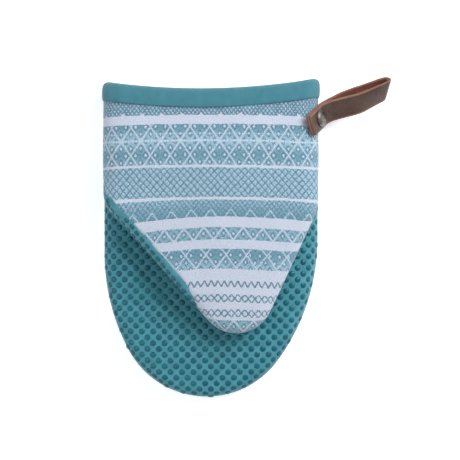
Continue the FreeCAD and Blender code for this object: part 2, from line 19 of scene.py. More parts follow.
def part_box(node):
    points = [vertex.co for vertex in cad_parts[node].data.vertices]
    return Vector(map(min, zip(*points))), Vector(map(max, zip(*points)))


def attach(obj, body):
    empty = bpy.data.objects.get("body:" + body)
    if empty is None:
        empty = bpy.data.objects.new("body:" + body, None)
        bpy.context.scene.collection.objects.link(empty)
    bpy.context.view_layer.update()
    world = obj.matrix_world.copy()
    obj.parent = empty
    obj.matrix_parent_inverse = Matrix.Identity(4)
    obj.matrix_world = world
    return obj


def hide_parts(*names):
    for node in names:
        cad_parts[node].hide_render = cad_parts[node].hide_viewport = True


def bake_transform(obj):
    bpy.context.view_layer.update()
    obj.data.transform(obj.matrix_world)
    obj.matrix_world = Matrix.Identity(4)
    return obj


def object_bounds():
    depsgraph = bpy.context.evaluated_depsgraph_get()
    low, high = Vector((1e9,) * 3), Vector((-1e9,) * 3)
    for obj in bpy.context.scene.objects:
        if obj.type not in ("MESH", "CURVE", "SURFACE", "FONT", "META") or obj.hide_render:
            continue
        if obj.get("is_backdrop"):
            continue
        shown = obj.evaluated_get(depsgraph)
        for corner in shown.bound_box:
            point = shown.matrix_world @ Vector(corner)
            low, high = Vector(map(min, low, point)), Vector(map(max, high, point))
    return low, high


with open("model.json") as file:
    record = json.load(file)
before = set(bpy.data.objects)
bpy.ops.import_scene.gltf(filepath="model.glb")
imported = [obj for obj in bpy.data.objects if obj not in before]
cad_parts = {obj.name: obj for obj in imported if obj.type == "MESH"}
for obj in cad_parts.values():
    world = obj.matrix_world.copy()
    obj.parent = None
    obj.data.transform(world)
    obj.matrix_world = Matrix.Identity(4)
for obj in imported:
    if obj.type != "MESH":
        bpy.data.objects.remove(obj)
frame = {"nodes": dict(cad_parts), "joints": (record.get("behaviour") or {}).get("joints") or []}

CAD_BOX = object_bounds()
MM = 0.001

# ---------------------------------------------------------------- sizes that the frame gives

BACK_LOW, BACK_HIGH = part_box("back_panel")
HALF_WIDTH = BACK_HIGH.x
TIP_Y = BACK_LOW.y
SEAM_Z = BACK_HIGH.z
PALM_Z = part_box("finger_grip_dots")[0].z
THUMB_LOW, THUMB_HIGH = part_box("thumb_front_panel")
THUMB_SEAM_Z = THUMB_LOW.z
TOP_Z = THUMB_HIGH.z
THUMB_UNDER_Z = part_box("thumb_grip_panel")[0].z
THUMB_HALF_WIDTH = THUMB_HIGH.x
CUFF_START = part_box("cuff_front_panel")[0].y
JOINTS = {joint["name"]: joint for joint in frame["joints"]}
HINGE = Vector(JOINTS["thumb_fold"]["pos_m"])
RIVET = Vector(JOINTS["loop_swivel"]["pos_m"])
RIVET_OUT = Vector(JOINTS["loop_swivel"]["axis"]).normalized()

# ---------------------------------------------------------------- the mitt's own proportions

# outline, as in the frame
TIP_ROUND = 58 * MM
TIP_X = -3 * MM
FLANK_ROUND = 135 * MM
THUMB_TIP = (16.5 * MM, -37 * MM)
THUMB_TIP_ROUND = 24 * MM
THUMB_CORNER_ROUND = 14 * MM
LEFT_SLANT = math.radians(48.5)
RIGHT_SLANT = math.radians(65)
# roundings of the walls' edges, and the straight length between seam and rounding
EDGE_ROUND = 8 * MM
UNDER_ROUND = 6.5 * MM
SHOULDER_ROUND = 12 * MM
CUFF_FALL = 10 / 77.7
WALL = 5 * MM
FABRIC = 1.0 * MM
# crotch, where the mouth ends
CROTCH_Y = 34.5 * MM
CROTCH_BULGE = 3.2 * MM
CORNER_BULGE = 10 * MM
HINGE_REACH = 6 * MM
# cuff edge and binding: the panel rises by LIFT over LEAD before the binding, and the binding's inner flap
# stands FREE of the wall
EDGE_LOW = 98 * MM
SCOOP_ROUND = 448 * MM
EDGE_TILT = 1.1 * MM
BINDING_DEPTH = 12.8 * MM
BINDING_LEAD = 2 * MM
BINDING_LIFT = 0.6 * MM
BINDING_FREE = 1.4 * MM
RING_POINTS = 168
PANEL_TUCK = 6 * MM
# the lip: how far the grip fabric wraps up over the left edge of the thumb
LIP = 11 * MM
# gentle hills and hollows: height in millimetres, centre, and spread along X and Y
PALM_HILLS = (
    (2.6, (50 * MM, -28 * MM), (24 * MM, 42 * MM)),
    (-4.4, (-31 * MM, -40 * MM), (24 * MM, 30 * MM)),
)
CUFF_SAG = (-1.2, (0, 82 * MM), (48 * MM, 30 * MM))
# cloth meshes
GRID = 2.7 * MM
CORNER_COUNT = 12
# the simulation: frames, air pressure, and how far a point may move, outside and in the mouth
FRAMES = 20
PRESSURE = 4
PUFF_LIMIT = 3.0 * MM
MOUTH_LIMIT = 1.3 * MM
# how deep and how wide the rivet pulls the strap into the padding
DIMPLE = 1.3 * MM
DIMPLE_SPREAD = 11 * MM
UV_PER_METRE = 10.0
# where the outlines' straight sides stop, past the cuff and past the crotch
MITT_SIDE_END = 130 * MM
THUMB_SIDE_END = 70 * MM
# dots
DOT_WIDTH = 3.9 * MM
DOT_HEIGHT = 0.7 * MM
DOT_PITCH = 7.55 * MM
DOT_SIDES = 14
# where dots stop: from the palm's seam, from the thumb's seam, and below the crotch
PALM_DOT_EDGE = 3.2 * MM
THUMB_DOT_EDGE = 2.3 * MM
CROTCH_DOT_EDGE = 9 * MM
# strap: it turns by STRAP_TURN from straight down the shoulder, and leans outwards towards its fold
STRAP_WIDTH = 14 * MM
STRAP_WALL = 1.9 * MM
STRAP_GAP = 0.1 * MM
STRAP_SUNK = 0.4 * MM
STRAP_TAIL = 12.0 * MM
STRAP_TWIST = -0.6
STRAP_TURN = math.radians(25.5)
LOWER_LEAF = STRAP_WALL / 2 - STRAP_SUNK
UPPER_LEAF = LOWER_LEAF + STRAP_WALL + STRAP_GAP
# the strap's middle line: distance along, distance out from the cuff, radius of the bend there
STRAP_ROUTE = [
    (-STRAP_TAIL, LOWER_LEAF, 0),
    (10 * MM, LOWER_LEAF, 18 * MM),
    (28 * MM, 6.4 * MM, 22 * MM),
    (47.5 * MM, 28 * MM, 3.9 * MM),
    (40 * MM, 35.5 * MM, 3.9 * MM),
    (20 * MM, 22.6 * MM, 16 * MM),
    (11 * MM, UPPER_LEAF, 9 * MM),
    (-STRAP_TAIL, UPPER_LEAF, 0),
]
# the view: the camera's height, what lies under it, and the width it sees at the mitt's middle height
CAMERA_HEIGHT = 1.6
CAMERA_OVER = (12.4 * MM, 5.9 * MM)
MIDDLE_HEIGHT = 25 * MM
VIEW_WIDTH = 299 * MM
# light: lamps by name, place, width and length, and watts; the sky's and the floor's own strength
LAMPS = (
    ("key", (0.55, 0.5, 0.75), (0.6, 0.6), 8.6),
    ("sparkle", (0.45, 0.3, 0.8), (0.08, 0.08), 1.2),
    ("fill", (-0.7, -0.2, 0.9), (0.9, 0.9), 3.6),
)
SKY_STRENGTH = 0.45
FLOOR_GLOW = 0.45
# the floor lies this far under the mitt, so that the two never share a plane
FLOOR_DROP = 0.2 * MM


def smooth(x):
    """0 below 0, 1 above 1, and an even curve between."""
    x = np.clip(x, 0, 1)
    return x * x * (3 - 2 * x)


def bump(x, y, centre, spread):
    """A round hill of height 1."""
    return np.exp(-((x - centre[0]) / spread[0]) ** 2 - ((y - centre[1]) / spread[1]) ** 2)


def placed(name, data):
    """A new object in the scene."""
    made = bpy.data.objects.new(name, data)
    bpy.context.scene.collection.objects.link(made)
    return made


# ---------------------------------------------------------------- outlines


def arc(centre, radius, start, end, step):
    """Points on an arc and their outward normals, about step apart."""
    count = max(2, math.ceil(abs(end - start) * radius / step))
    angle = np.linspace(start, end, count + 1)
    normal = np.stack([np.cos(angle), np.sin(angle)], axis=1)
    return np.array(centre) + radius * normal, normal


def straight(start, end, normal, step):
    """Points on a straight edge between two points, without its ends."""
    start, end = np.array(start), np.array(end)
    count = max(1, round(np.linalg.norm(end - start) / step))
    share = np.linspace(0, 1, count + 1)[1:-1, None]
    return start + share * (end - start), np.tile(normal, (count - 1, 1))


def outline(arcs, side_x, top, step):
    """A U-shaped outline with outward normals: down the left side, round the arcs, up the right side."""
    points, normals = [np.array([[-side_x, top]])], [np.array([[-1.0, 0.0]])]
    for centre, radius, start, end in arcs:
        bend, out = arc(centre, radius, start, end, step)
        run, run_out = straight(points[-1][-1], bend[0], out[0], step)
        points += [run, bend]
        normals += [run_out, out]
    run, run_out = straight(points[-1][-1], (side_x, top), (1.0, 0.0), step)
    points += [run, np.array([[side_x, top]])]
    normals += [run_out, np.array([[1.0, 0.0]])]
    points, normals = np.concatenate(points), np.concatenate(normals)
    apart = np.linalg.norm(np.diff(points, axis=0, prepend=points[:1] + 1), axis=1) > step * 0.05
    return points[apart], normals[apart]


def mitt_arcs():
    """The left flank, the tip and the right flank of the whole mitt."""
    centre = (TIP_X, TIP_Y + TIP_ROUND)
    flank_x = FLANK_ROUND - HALF_WIDTH
    between = FLANK_ROUND - TIP_ROUND
    left = math.acos((flank_x - TIP_X) / between)
    right = math.acos((flank_x + TIP_X) / between)
    return [
        ((flank_x, centre[1] + between * math.sin(left)), FLANK_ROUND, math.pi, math.pi + left),
        (centre, TIP_ROUND, math.pi + left, 2 * math.pi - right),
        ((-flank_x, centre[1] + between * math.sin(right)), FLANK_ROUND, 2 * math.pi - right, 2 * math.pi),
    ]


def thumb_arcs():
    """The left corner, the tip and the right corner of the V-shaped thumb."""
    arcs = [(THUMB_TIP, THUMB_TIP_ROUND, 1.5 * math.pi - LEFT_SLANT, 1.5 * math.pi + RIGHT_SLANT)]
    for side, slant in ((-1, LEFT_SLANT), (1, RIGHT_SLANT)):
        slope = np.array([side * math.sin(slant), -math.cos(slant)])
        reach = slope @ np.array(THUMB_TIP) + THUMB_TIP_ROUND
        x = side * (THUMB_HALF_WIDTH - THUMB_CORNER_ROUND)
        y = (reach - THUMB_CORNER_ROUND - slope[0] * x) / slope[1]
        if side < 0:
            arcs.insert(0, ((x, y), THUMB_CORNER_ROUND, math.pi, arcs[0][2]))
        else:
            arcs.append(((x, y), THUMB_CORNER_ROUND, arcs[-1][3], 2 * math.pi))
    return arcs


def nearest(points, line, normals):
    """How far points are inside a U-shaped line, negative outside, and each one's nearest outward normal."""
    start, along = line[:-1], np.diff(line, axis=0)
    share = ((points[:, None] - start) * along).sum(2) / (along * along).sum(1)
    share = np.clip(share, 0, 1)
    foot = start + share[..., None] * along
    away = np.linalg.norm(points[:, None] - foot, axis=2)
    best = away.argmin(1)
    row = np.arange(len(points))
    share = share[row, best][:, None]
    out = normals[best] * (1 - share) + normals[best + 1] * share
    out /= np.linalg.norm(out, axis=1)[:, None]
    inside = ((foot[row, best] - points) * out).sum(1) >= 0
    return np.where(inside, away[row, best], -away[row, best]), out


# ---------------------------------------------------------------- how flat cloth wraps round an edge


def rounding(length, straight_part, radius):
    """Cloth that starts at a seam goes straight for a while and then round a quarter turn.

    Gives how far inside the outline and how far above the seam it is after that length of cloth.
    """
    turn = np.clip((length - straight_part) / radius, 0, math.pi / 2)
    past = np.maximum(length - straight_part - radius * math.pi / 2, 0)
    inside = radius * (1 - np.cos(turn)) + past
    above = np.minimum(length, straight_part) + radius * np.sin(turn)
    return inside, above


def slack_of(straight_part, radius):
    """How much further out than the outline the flat cloth's seam lies."""
    return straight_part + radius * (math.pi / 2 - 1)


def wrap(flat, line, normals, straight_part, radius, seam_z, direction):
    """Flat cloth laid over an outline and round its edge to a seam. The line is the outline."""
    slack = slack_of(straight_part, radius)
    length, out = nearest(flat, line + normals * slack, normals)
    inside, above = rounding(length, straight_part, radius)
    plan = flat - out * (inside + slack - length)[:, None]
    return np.column_stack([plan, seam_z + direction * above])


MITT, MITT_OUT = outline(mitt_arcs(), HALF_WIDTH, MITT_SIDE_END, GRID)
THUMB, THUMB_OUT = outline(thumb_arcs(), THUMB_HALF_WIDTH, THUMB_SIDE_END, GRID)
PALM_RISE = PALM_Z - SEAM_Z - EDGE_ROUND
OVER_RISE = TOP_Z - THUMB_SEAM_Z - EDGE_ROUND
UNDER_RISE = THUMB_SEAM_Z - THUMB_UNDER_Z - UNDER_ROUND


def palm_shape(flat):
    """The palm side of the finger pocket: sunk beside the lip, raised at the right of the thumb."""
    place = wrap(flat, MITT, MITT_OUT, PALM_RISE, EDGE_ROUND, SEAM_Z, 1)
    x, y = place[:, 0], place[:, 1]
    height = (place[:, 2] - SEAM_Z) / (PALM_Z - SEAM_Z)
    for rise, centre, spread in PALM_HILLS:
        place[:, 2] += height * rise * MM * bump(x, y, centre, spread)
    return place


def back_shape(flat):
    """The back wall, flat on the floor inside its rounded edge."""
    return wrap(flat, MITT, MITT_OUT, SEAM_Z - EDGE_ROUND, EDGE_ROUND, SEAM_Z, -1)


def thumb_over_shape(flat):
    """The front of the thumb."""
    return wrap(flat, THUMB, THUMB_OUT, OVER_RISE, EDGE_ROUND, THUMB_SEAM_Z, 1)


def thumb_under_shape(flat):
    """The grip side of the thumb, and past the widest line its lip on the front."""
    slack = slack_of(UNDER_RISE, UNDER_ROUND)
    length, out = nearest(flat, THUMB + THUMB_OUT * slack, THUMB_OUT)
    under_in, under_down = rounding(length, UNDER_RISE, UNDER_ROUND)
    over_in, over_up = rounding(-length, OVER_RISE, EDGE_ROUND)
    inside = np.where(length > 0, under_in, over_in)
    z = np.where(length > 0, THUMB_SEAM_Z - under_down, THUMB_SEAM_Z + over_up)
    plan = flat - out * (inside + slack - length)[:, None]
    return np.column_stack([plan, z])


def cuff_top(y):
    """Height of the cuff's front above the floor."""
    return TOP_Z - CUFF_FALL * np.maximum(y - CUFF_START, 0)


def cuff_shape(flat):
    """The cuff's front: flat on top, round shoulders and straight sides."""
    side = np.sign(flat[:, 0])
    across = np.abs(flat[:, 0])
    top = cuff_top(flat[:, 1])
    level = HALF_WIDTH - SHOULDER_ROUND
    turn = np.clip((across - level) / SHOULDER_ROUND, 0, math.pi / 2)
    down = np.maximum(across - level - SHOULDER_ROUND * math.pi / 2, 0)
    x = side * (np.minimum(across, level) + SHOULDER_ROUND * np.sin(turn))
    z = top - SHOULDER_ROUND * (1 - np.cos(turn)) - down
    return np.column_stack([x, flat[:, 1], z])


def cuff_reach(y):
    """Half the flat width of the front panel at the cuff."""
    return HALF_WIDTH - SHOULDER_ROUND + SHOULDER_ROUND * (math.pi / 2 - 1) + cuff_top(y) - SEAM_Z


def front_shape(flat):
    """The front panel, from the cuff to the thumb's tip."""
    share = smooth((CUFF_START + 9 * MM - flat[:, 1]) / (16 * MM))[:, None]
    place = share * thumb_over_shape(flat) + (1 - share) * cuff_shape(flat)
    sag, centre, spread = CUFF_SAG
    place[:, 2] += sag * MM * bump(place[:, 0], place[:, 1], centre, spread)
    away = np.linalg.norm(place - np.array(RIVET), axis=1)
    depth = DIMPLE * np.exp(-((away / DIMPLE_SPREAD) ** 2))
    return place - np.array(RIVET_OUT) * depth[:, None]


def edge_y(x):
    """Where the cuff ends: scooped in the middle and a little higher on the right."""
    return EDGE_LOW + x * x / (2 * SCOOP_ROUND) + EDGE_TILT * x / HALF_WIDTH


def lifted_at_binding(place):
    """A panel's points, raised off the floor where the binding passes under them."""
    under = smooth((place[:, 1] - edge_y(place[:, 0]) + BINDING_DEPTH + BINDING_LEAD) / BINDING_LEAD)
    lifted = place.copy()
    lifted[:, 2] = np.maximum(place[:, 2], under * BINDING_LIFT)
    return lifted


# ---------------------------------------------------------------- cutting and sewing


def lip_width(points):
    """How far the seam lies up from the thumb's widest line: a lip along the left edge only."""
    along_left = smooth((2 * MM - points[:, 0]) / (24 * MM))
    below_corner = smooth((CROTCH_Y - points[:, 1]) / (11 * MM))
    return LIP * along_left * below_corner


def corner_curve(side, count):
    """The seam at an end of the mouth, from the back seam to the thumb's seam, on the mitt's side."""
    share = np.linspace(0, 1, count)
    y = CROTCH_Y + CORNER_BULGE * np.sin(math.pi * share)
    z = SEAM_Z + (THUMB_SEAM_Z - SEAM_Z) * share
    x = side * (HALF_WIDTH + (THUMB_HALF_WIDTH - HALF_WIDTH) * share)
    return np.column_stack([x, y, z])


def cut(edge, spacing):
    """Even triangles inside a closed flat outline. The outline's points come first."""
    low, high = edge.min(0), edge.max(0)
    rows = np.arange(low[1], high[1], spacing * math.sqrt(0.75))
    grid = []
    for number, y in enumerate(rows):
        xs = np.arange(low[0], high[0], spacing) + (number % 2) * spacing / 2
        grid.append(np.column_stack([xs, np.full(len(xs), y)]))
    grid = np.concatenate(grid)
    start, end = edge, np.roll(edge, -1, axis=0)
    crosses = (start[:, 1] > grid[:, 1:2]) != (end[:, 1] > grid[:, 1:2])
    with np.errstate(divide="ignore", invalid="ignore"):
        share = (grid[:, 1:2] - start[:, 1]) / (end[:, 1] - start[:, 1])
        cross_x = start[:, 0] + share * (end[:, 0] - start[:, 0])
    within = ((crosses & (grid[:, 0:1] < cross_x)).sum(1) % 2) == 1
    grid = grid[within]
    along = end - start
    share = ((grid[:, None] - start) * along).sum(2) / np.maximum((along * along).sum(1), 1e-12)
    foot = start + np.clip(share, 0, 1)[..., None] * along
    away = np.linalg.norm(grid[:, None] - foot, axis=2).min(1)
    grid = grid[away > spacing * 0.6]
    points = np.concatenate([edge, grid])
    loop = list(range(len(edge)))
    made = delaunay_2d_cdt([Vector(p) for p in points], [], [loop], 1, 1e-7)
    faces, sources = made[2], made[3]
    order = [source[0] for source in sources]
    flat = points[order]
    return flat, np.array(faces), order


class Panel:
    """A cut piece of cloth: flat coordinates, where it lies on the mitt, and triangles."""

    def __init__(self, edge, shape, edge_place=None):
        self.flat, self.faces, order = cut(edge, GRID)
        self.place = shape(self.flat)
        if edge_place is not None:
            for number, source in enumerate(order):
                if source < len(edge):
                    self.place[number] = edge_place[source]
        self.on_edge = np.array([source < len(edge) for source in order])


def flat_line(start, end):
    """Points between two flat points, ends left out."""
    count = max(2, round(np.linalg.norm(np.subtract(end, start)) / GRID))
    share = np.linspace(0, 1, count + 1)[1:-1, None]
    return np.array(start) + share * (np.array(end) - np.array(start))


def lower_part(points, out):
    """The part of an outline below the crotch, with points exactly at the crotch."""
    keep = points[:, 1] < CROTCH_Y - 0.4 * GRID
    first = np.array([[-abs(points[0, 0]), CROTCH_Y]])
    last = np.array([[abs(points[0, 0]), CROTCH_Y]])
    line = np.concatenate([first, points[keep], last])
    normals = np.concatenate([[[-1.0, 0.0]], out[keep], [[1.0, 0.0]]])
    return line, normals


def top_line(reach, shape):
    """The panel's own edge under the binding, from right to left, as flat points."""
    across = np.linspace(1, -1, round(2 * reach(EDGE_LOW) / GRID) + 1)
    flat = np.column_stack([across * reach(EDGE_LOW), np.full(len(across), EDGE_LOW)])
    for _ in range(4):
        place = shape(flat)
        flat[:, 1] = edge_y(place[:, 0]) - PANEL_TUCK
        flat[:, 0] = across * reach(flat[:, 1])
    return flat


def side_seam():
    """Heights along Y of the points on the cuff's side seam, from the binding down to the crotch."""
    top = float(edge_y(HALF_WIDTH)) - PANEL_TUCK
    count = round((top - CROTCH_Y) / GRID)
    return np.linspace(top, CROTCH_Y, count + 1)


def make_back():
    """The back panel, from the cuff round the tip."""
    slack = slack_of(SEAM_Z - EDGE_ROUND, EDGE_ROUND)
    lower, out = lower_part(MITT, MITT_OUT)
    y = side_seam()
    left = np.column_stack([np.full(len(y) - 1, -HALF_WIDTH - slack), y[:-1]])
    right = np.column_stack([np.full(len(y) - 1, HALF_WIDTH + slack), y[-2::-1]])
    top = top_line(lambda at: HALF_WIDTH + slack + 0 * at, back_shape)
    return Panel(np.concatenate([left, lower + out * slack, right, top[1:-1]]), back_shape)


def make_front():
    """The front panel, from the cuff to the thumb's tip."""
    slack = slack_of(OVER_RISE, EDGE_ROUND)
    lower, out = lower_part(THUMB, THUMB_OUT)
    lip = lip_width(lower)[:, None]
    y = side_seam()
    left = np.column_stack([-cuff_reach(y[:-1]), y[:-1]])
    right = np.column_stack([cuff_reach(y[-2::-1]), y[-2::-1]])
    corner = corner_curve(1, CORNER_COUNT)[:-1]
    corner_flat = np.column_stack([cuff_reach(corner[:, 1]) - (corner[:, 2] - SEAM_Z), corner[:, 1]])
    v_edge = lower + out * (slack - lip)
    edge = np.concatenate([
        left, corner_flat * (-1, 1), v_edge, corner_flat[::-1], right,
        top_line(cuff_reach, front_shape)[1:-1],
    ])
    place = front_shape(edge)
    first = len(left)
    count = len(corner)
    place[first:first + count] = corner * (-1, 1, 1)
    last = first + count + len(v_edge)
    place[last:last + count] = corner[::-1]
    inside, above = rounding(lip[:, 0], OVER_RISE, EDGE_ROUND)
    place[first + count:last] = np.column_stack([lower - out * inside[:, None], THUMB_SEAM_Z + above])
    seam_side = place[:first]
    seam_side[:, 0], seam_side[:, 2] = -HALF_WIDTH, SEAM_Z
    place[last + count:last + count + len(right), 0] = HALF_WIDTH
    place[last + count:last + count + len(right), 2] = SEAM_Z
    return Panel(edge, front_shape, place)


def make_thumb_grip():
    """The grip panel of the thumb, with the lip on its left edge."""
    slack = slack_of(UNDER_RISE, UNDER_ROUND)
    lower, out = lower_part(THUMB, THUMB_OUT)
    lip = lip_width(lower)[:, None]
    around = lower + out * (slack + lip)
    crotch = flat_line(around[-1], around[0])
    return Panel(np.concatenate([around, crotch]), thumb_under_shape)


def make_finger_grip():
    """The grip panel of the fingers, turned up at the crotch to meet the thumb's."""
    slack = slack_of(PALM_RISE, EDGE_ROUND)
    lower, out = lower_part(MITT, MITT_OUT)
    around = lower + out * slack
    crotch = flat_line(around[-1], around[0])
    panel = Panel(np.concatenate([around, crotch]), palm_shape)

    thumb_reach = THUMB_HALF_WIDTH + slack_of(UNDER_RISE, UNDER_ROUND)
    right_end, left_end = (thumb_reach, CROTCH_Y), (-thumb_reach, CROTCH_Y)
    upper = np.concatenate([[right_end], flat_line(right_end, left_end), [left_end]])
    lower_line = np.concatenate([around[-1:], crotch, around[:1]])
    if len(upper) != len(lower_line):
        raise RuntimeError(f"the crotch's two lines differ: {len(upper)} and {len(lower_line)} points")
    low, high = palm_shape(lower_line), thumb_under_shape(upper)
    first = len(panel.flat)
    start = [int(np.linalg.norm(panel.flat - p, axis=1).argmin()) for p in lower_line]
    flats, places, faces = [], [], []
    columns = len(lower_line)
    previous = start
    for row in range(1, CORNER_COUNT):
        share = row / (CORNER_COUNT - 1)
        across = np.abs(lower_line[:, 0]) / np.abs(lower_line[:, 0]).max()
        bulge = CROTCH_BULGE + (CORNER_BULGE - CROTCH_BULGE) * smooth((across - 0.84) / 0.16)
        place = low + (high - low) * share
        place[:, 1] += bulge * math.sin(math.pi * share)
        places.append(place)
        flats.append(np.column_stack([lower_line[:, 0], lower_line[:, 1] + share * 12 * MM]))
        current = [first + (row - 1) * columns + number for number in range(columns)]
        for number in range(columns - 1):
            a, b = previous[number], previous[number + 1]
            c, d = current[number + 1], current[number]
            faces += [(a, c, b), (a, d, c)] if number % 2 else [(a, d, b), (b, d, c)]
        previous = current
    panel.flat = np.concatenate([panel.flat, *flats])
    panel.place = np.concatenate([panel.place, *places])
    panel.faces = np.concatenate([panel.faces, np.array(faces)])
    rim = np.zeros(len(panel.flat), bool)
    rim[:first] = panel.on_edge
    rim[previous] = True
    rim[[first + row * columns for row in range(CORNER_COUNT - 1)]] = True
    rim[[first + row * columns + columns - 1 for row in range(CORNER_COUNT - 1)]] = True
    rim[start[1:-1]] = False
    panel.on_edge = rim
    return panel


# ---------------------------------------------------------------- the cloth simulation


def sew(panels):
    """All panels as one surface, their points joined on shared seams.

    Gives the points, the faces, and for each panel where its points went.
    """
    points = np.concatenate([panel.place for panel in panels])
    keys = np.round(points / (0.05 * MM)).astype(int)
    _, first, where = np.unique(keys, axis=0, return_index=True, return_inverse=True)
    where = where.ravel()
    offsets = np.cumsum([0] + [len(panel.place) for panel in panels])
    faces = np.concatenate([where[panel.faces + offset] for panel, offset in zip(panels, offsets)])
    sewn = [where[offsets[n]:offsets[n + 1]] for n in range(len(panels))]
    return points[first], faces, sewn


def edges_of(faces):
    """The three edges of every triangle."""
    return np.concatenate([faces[:, [0, 1]], faces[:, [1, 2]], faces[:, [2, 0]]])


def evened(points, moves, faces, held, rounds):
    """Moves averaged with their neighbours', so that no single point stands out."""
    edges = edges_of(faces)
    count = np.bincount(edges.ravel(), minlength=len(points))[:, None]
    for _ in range(rounds):
        total = np.zeros_like(moves)
        np.add.at(total, edges[:, 0], moves[edges[:, 1]])
        np.add.at(total, edges[:, 1], moves[edges[:, 0]])
        moves = np.where(held[:, None], moves, 0.5 * moves + 0.5 * total / np.maximum(count, 1))
    return moves


def puff(points, faces, held, limit):
    """Blow the sewn cloth up a little with its seams held, and limit how far each point moves."""
    mesh = bpy.data.meshes.new("puffed")
    mesh.from_pydata(points.tolist(), [], faces.tolist())
    cloth = placed("puffed", mesh)
    pins = cloth.vertex_groups.new(name="pins")
    pins.add([int(number) for number in np.flatnonzero(held)], 1.0, "REPLACE")
    modifier = cloth.modifiers.new("Cloth", "CLOTH")
    settings = modifier.settings
    settings.quality = 5
    settings.mass = 0.3
    settings.tension_stiffness = 12
    settings.compression_stiffness = 12
    settings.shear_stiffness = 6
    settings.bending_stiffness = 0.6
    settings.use_pressure = True
    settings.uniform_pressure_force = PRESSURE
    settings.vertex_group_mass = "pins"
    settings.effector_weights.gravity = 0
    modifier.collision_settings.use_collision = False
    scene = bpy.context.scene
    for number in range(1, FRAMES + 1):
        scene.frame_set(number)
    graph = bpy.context.evaluated_depsgraph_get()
    done = cloth.evaluated_get(graph).to_mesh()
    moved = np.zeros(len(points) * 3, np.float32)
    done.vertices.foreach_get("co", moved)
    moves = moved.reshape(-1, 3).astype(float) - points
    bpy.data.objects.remove(cloth)
    scene.frame_set(1)
    far = np.linalg.norm(moves, axis=1)
    print(f"cloth moved {far.max() / MM:.2f} mm at most, {far.mean() / MM:.2f} on average")
    moves *= (limit * np.tanh(far / np.maximum(limit, 1e-9)) / np.maximum(far, 1e-9))[:, None]
    return evened(points, moves, faces, held, 2)


def end_cap(points, faces):
    """Triangles that close the open cuff, for the simulation only."""
    unique, count = np.unique(np.sort(edges_of(faces), axis=1), axis=0, return_counts=True)
    rim = unique[count == 1]
    centre = len(points)
    ring = np.unique(rim)
    points = np.vstack([points, points[ring].mean(0)])
    cap = np.column_stack([rim, np.full(len(rim), centre)])
    middle = points[centre]
    for row in cap:
        a, b, _ = points[row]
        if np.cross(b - a, middle - a)[1] < 0:
            row[[0, 1]] = row[[1, 0]]
    return points, np.concatenate([faces, cap]), ring


def turn_faces(panels):
    """The back and the thumb's grip face down, the front and the palm face up."""
    up = {"back": -1, "thumb_grip": -1, "front": 1, "finger_grip": 1}
    for name, panel in panels.items():
        a, b, c = (panel.place[panel.faces[:, n]] for n in range(3))
        facing = np.cross(b - a, c - a).sum(0)
        if facing[2] * up[name] < 0:
            panel.faces = panel.faces[:, ::-1]


def shape_mitt():
    """Cut, wrap, sew and puff the four panels."""
    panels = {
        "back": make_back(),
        "front": make_front(),
        "thumb_grip": make_thumb_grip(),
        "finger_grip": make_finger_grip(),
    }
    turn_faces(panels)
    points, faces, sewn = sew(panels.values())
    held = np.zeros(len(points), bool)
    for panel, where in zip(panels.values(), sewn):
        held[where[panel.on_edge]] = True
    seams = held.copy()
    held |= points[:, 2] < 0.5 * MM
    limit = np.full(len(points), PUFF_LIMIT)
    for name, where in zip(panels, sewn):
        if name in ("thumb_grip", "finger_grip"):
            place = points[where]
            facing = smooth((THUMB_UNDER_Z + 3 * MM - place[:, 2]) / (4 * MM))
            under = smooth((place[:, 1] + 60 * MM) / (25 * MM))
            inner = facing * (under if name == "finger_grip" else 1)
            limit[where] = PUFF_LIMIT + (MOUTH_LIMIT - PUFF_LIMIT) * inner
    moves = np.zeros_like(points)
    closed, all_faces, ring = end_cap(points, faces)
    pinned = np.append(held, True)
    pinned[ring] = True
    moves = puff(closed, all_faces, pinned, np.append(limit, 0.0))[:-1]
    points = points + moves + creases(points, seams)
    points[:, 2] = np.maximum(points[:, 2], 0.0)
    for panel, where in zip(panels.values(), sewn):
        panel.place = points[where]
    return panels


def creases(points, seams):
    """Small unevenness that cloth keeps: shallow waves and a few soft folds."""
    moves = np.zeros_like(points)
    for number, point in enumerate(points):
        if point[2] < 0.8 * MM:
            continue
        at = Vector(point)
        slow = noise.noise(at * 28 + Vector((3.1, 0, 0)))
        quick = noise.noise(at * 75 + Vector((0, 7.7, 0)))
        moves[number, 2] = (1.1 * slow + 0.5 * quick) * MM
    high = smooth((points[:, 2] - SEAM_Z) / (6 * MM))
    return moves * high[:, None] * np.where(seams, 0.5, 1.0)[:, None]


# ---------------------------------------------------------------- making pieces


def new_piece(name, points, faces, material, flat=None):
    """A mesh object with smooth shading, and flat cloth coordinates if it has them."""
    mesh = bpy.data.meshes.new(name)
    mesh.from_pydata([tuple(p) for p in points], [], [tuple(int(i) for i in f) for f in faces])
    mesh.update()
    for polygon in mesh.polygons:
        polygon.use_smooth = True
    if flat is not None:
        layer = mesh.uv_layers.new(name="cloth")
        corners = np.zeros(len(mesh.loops), np.int32)
        mesh.loops.foreach_get("vertex_index", corners)
        layer.data.foreach_set("uv", (np.asarray(flat)[corners] * UV_PER_METRE).astype(np.float32).ravel())
    mesh.materials.append(material)
    return placed(name, mesh)


def bands(rings, size, first=0):
    """Four-sided faces between rings of points, size points to a ring, numbered from first."""
    faces = []
    for row in range(rings - 1):
        for number in range(size):
            a, b = first + row * size + number, first + row * size + (number + 1) % size
            faces.append((a, b, b + size, a + size))
    return faces


def refine(piece):
    """Smooth a piece with one round of subdivision."""
    modifier = piece.modifiers.new("Smooth", "SUBSURF")
    modifier.levels = modifier.render_levels = 1
    return piece


def thicken(piece, wall):
    """Give cloth its thickness, inwards."""
    modifier = piece.modifiers.new("Thickness", "SOLIDIFY")
    modifier.thickness = wall
    modifier.offset = -1


def hinge_blend(piece):
    """Bake a piece's placement into its mesh; the piece is not bent along the hinge line."""
    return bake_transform(piece)


# ---------------------------------------------------------------- materials


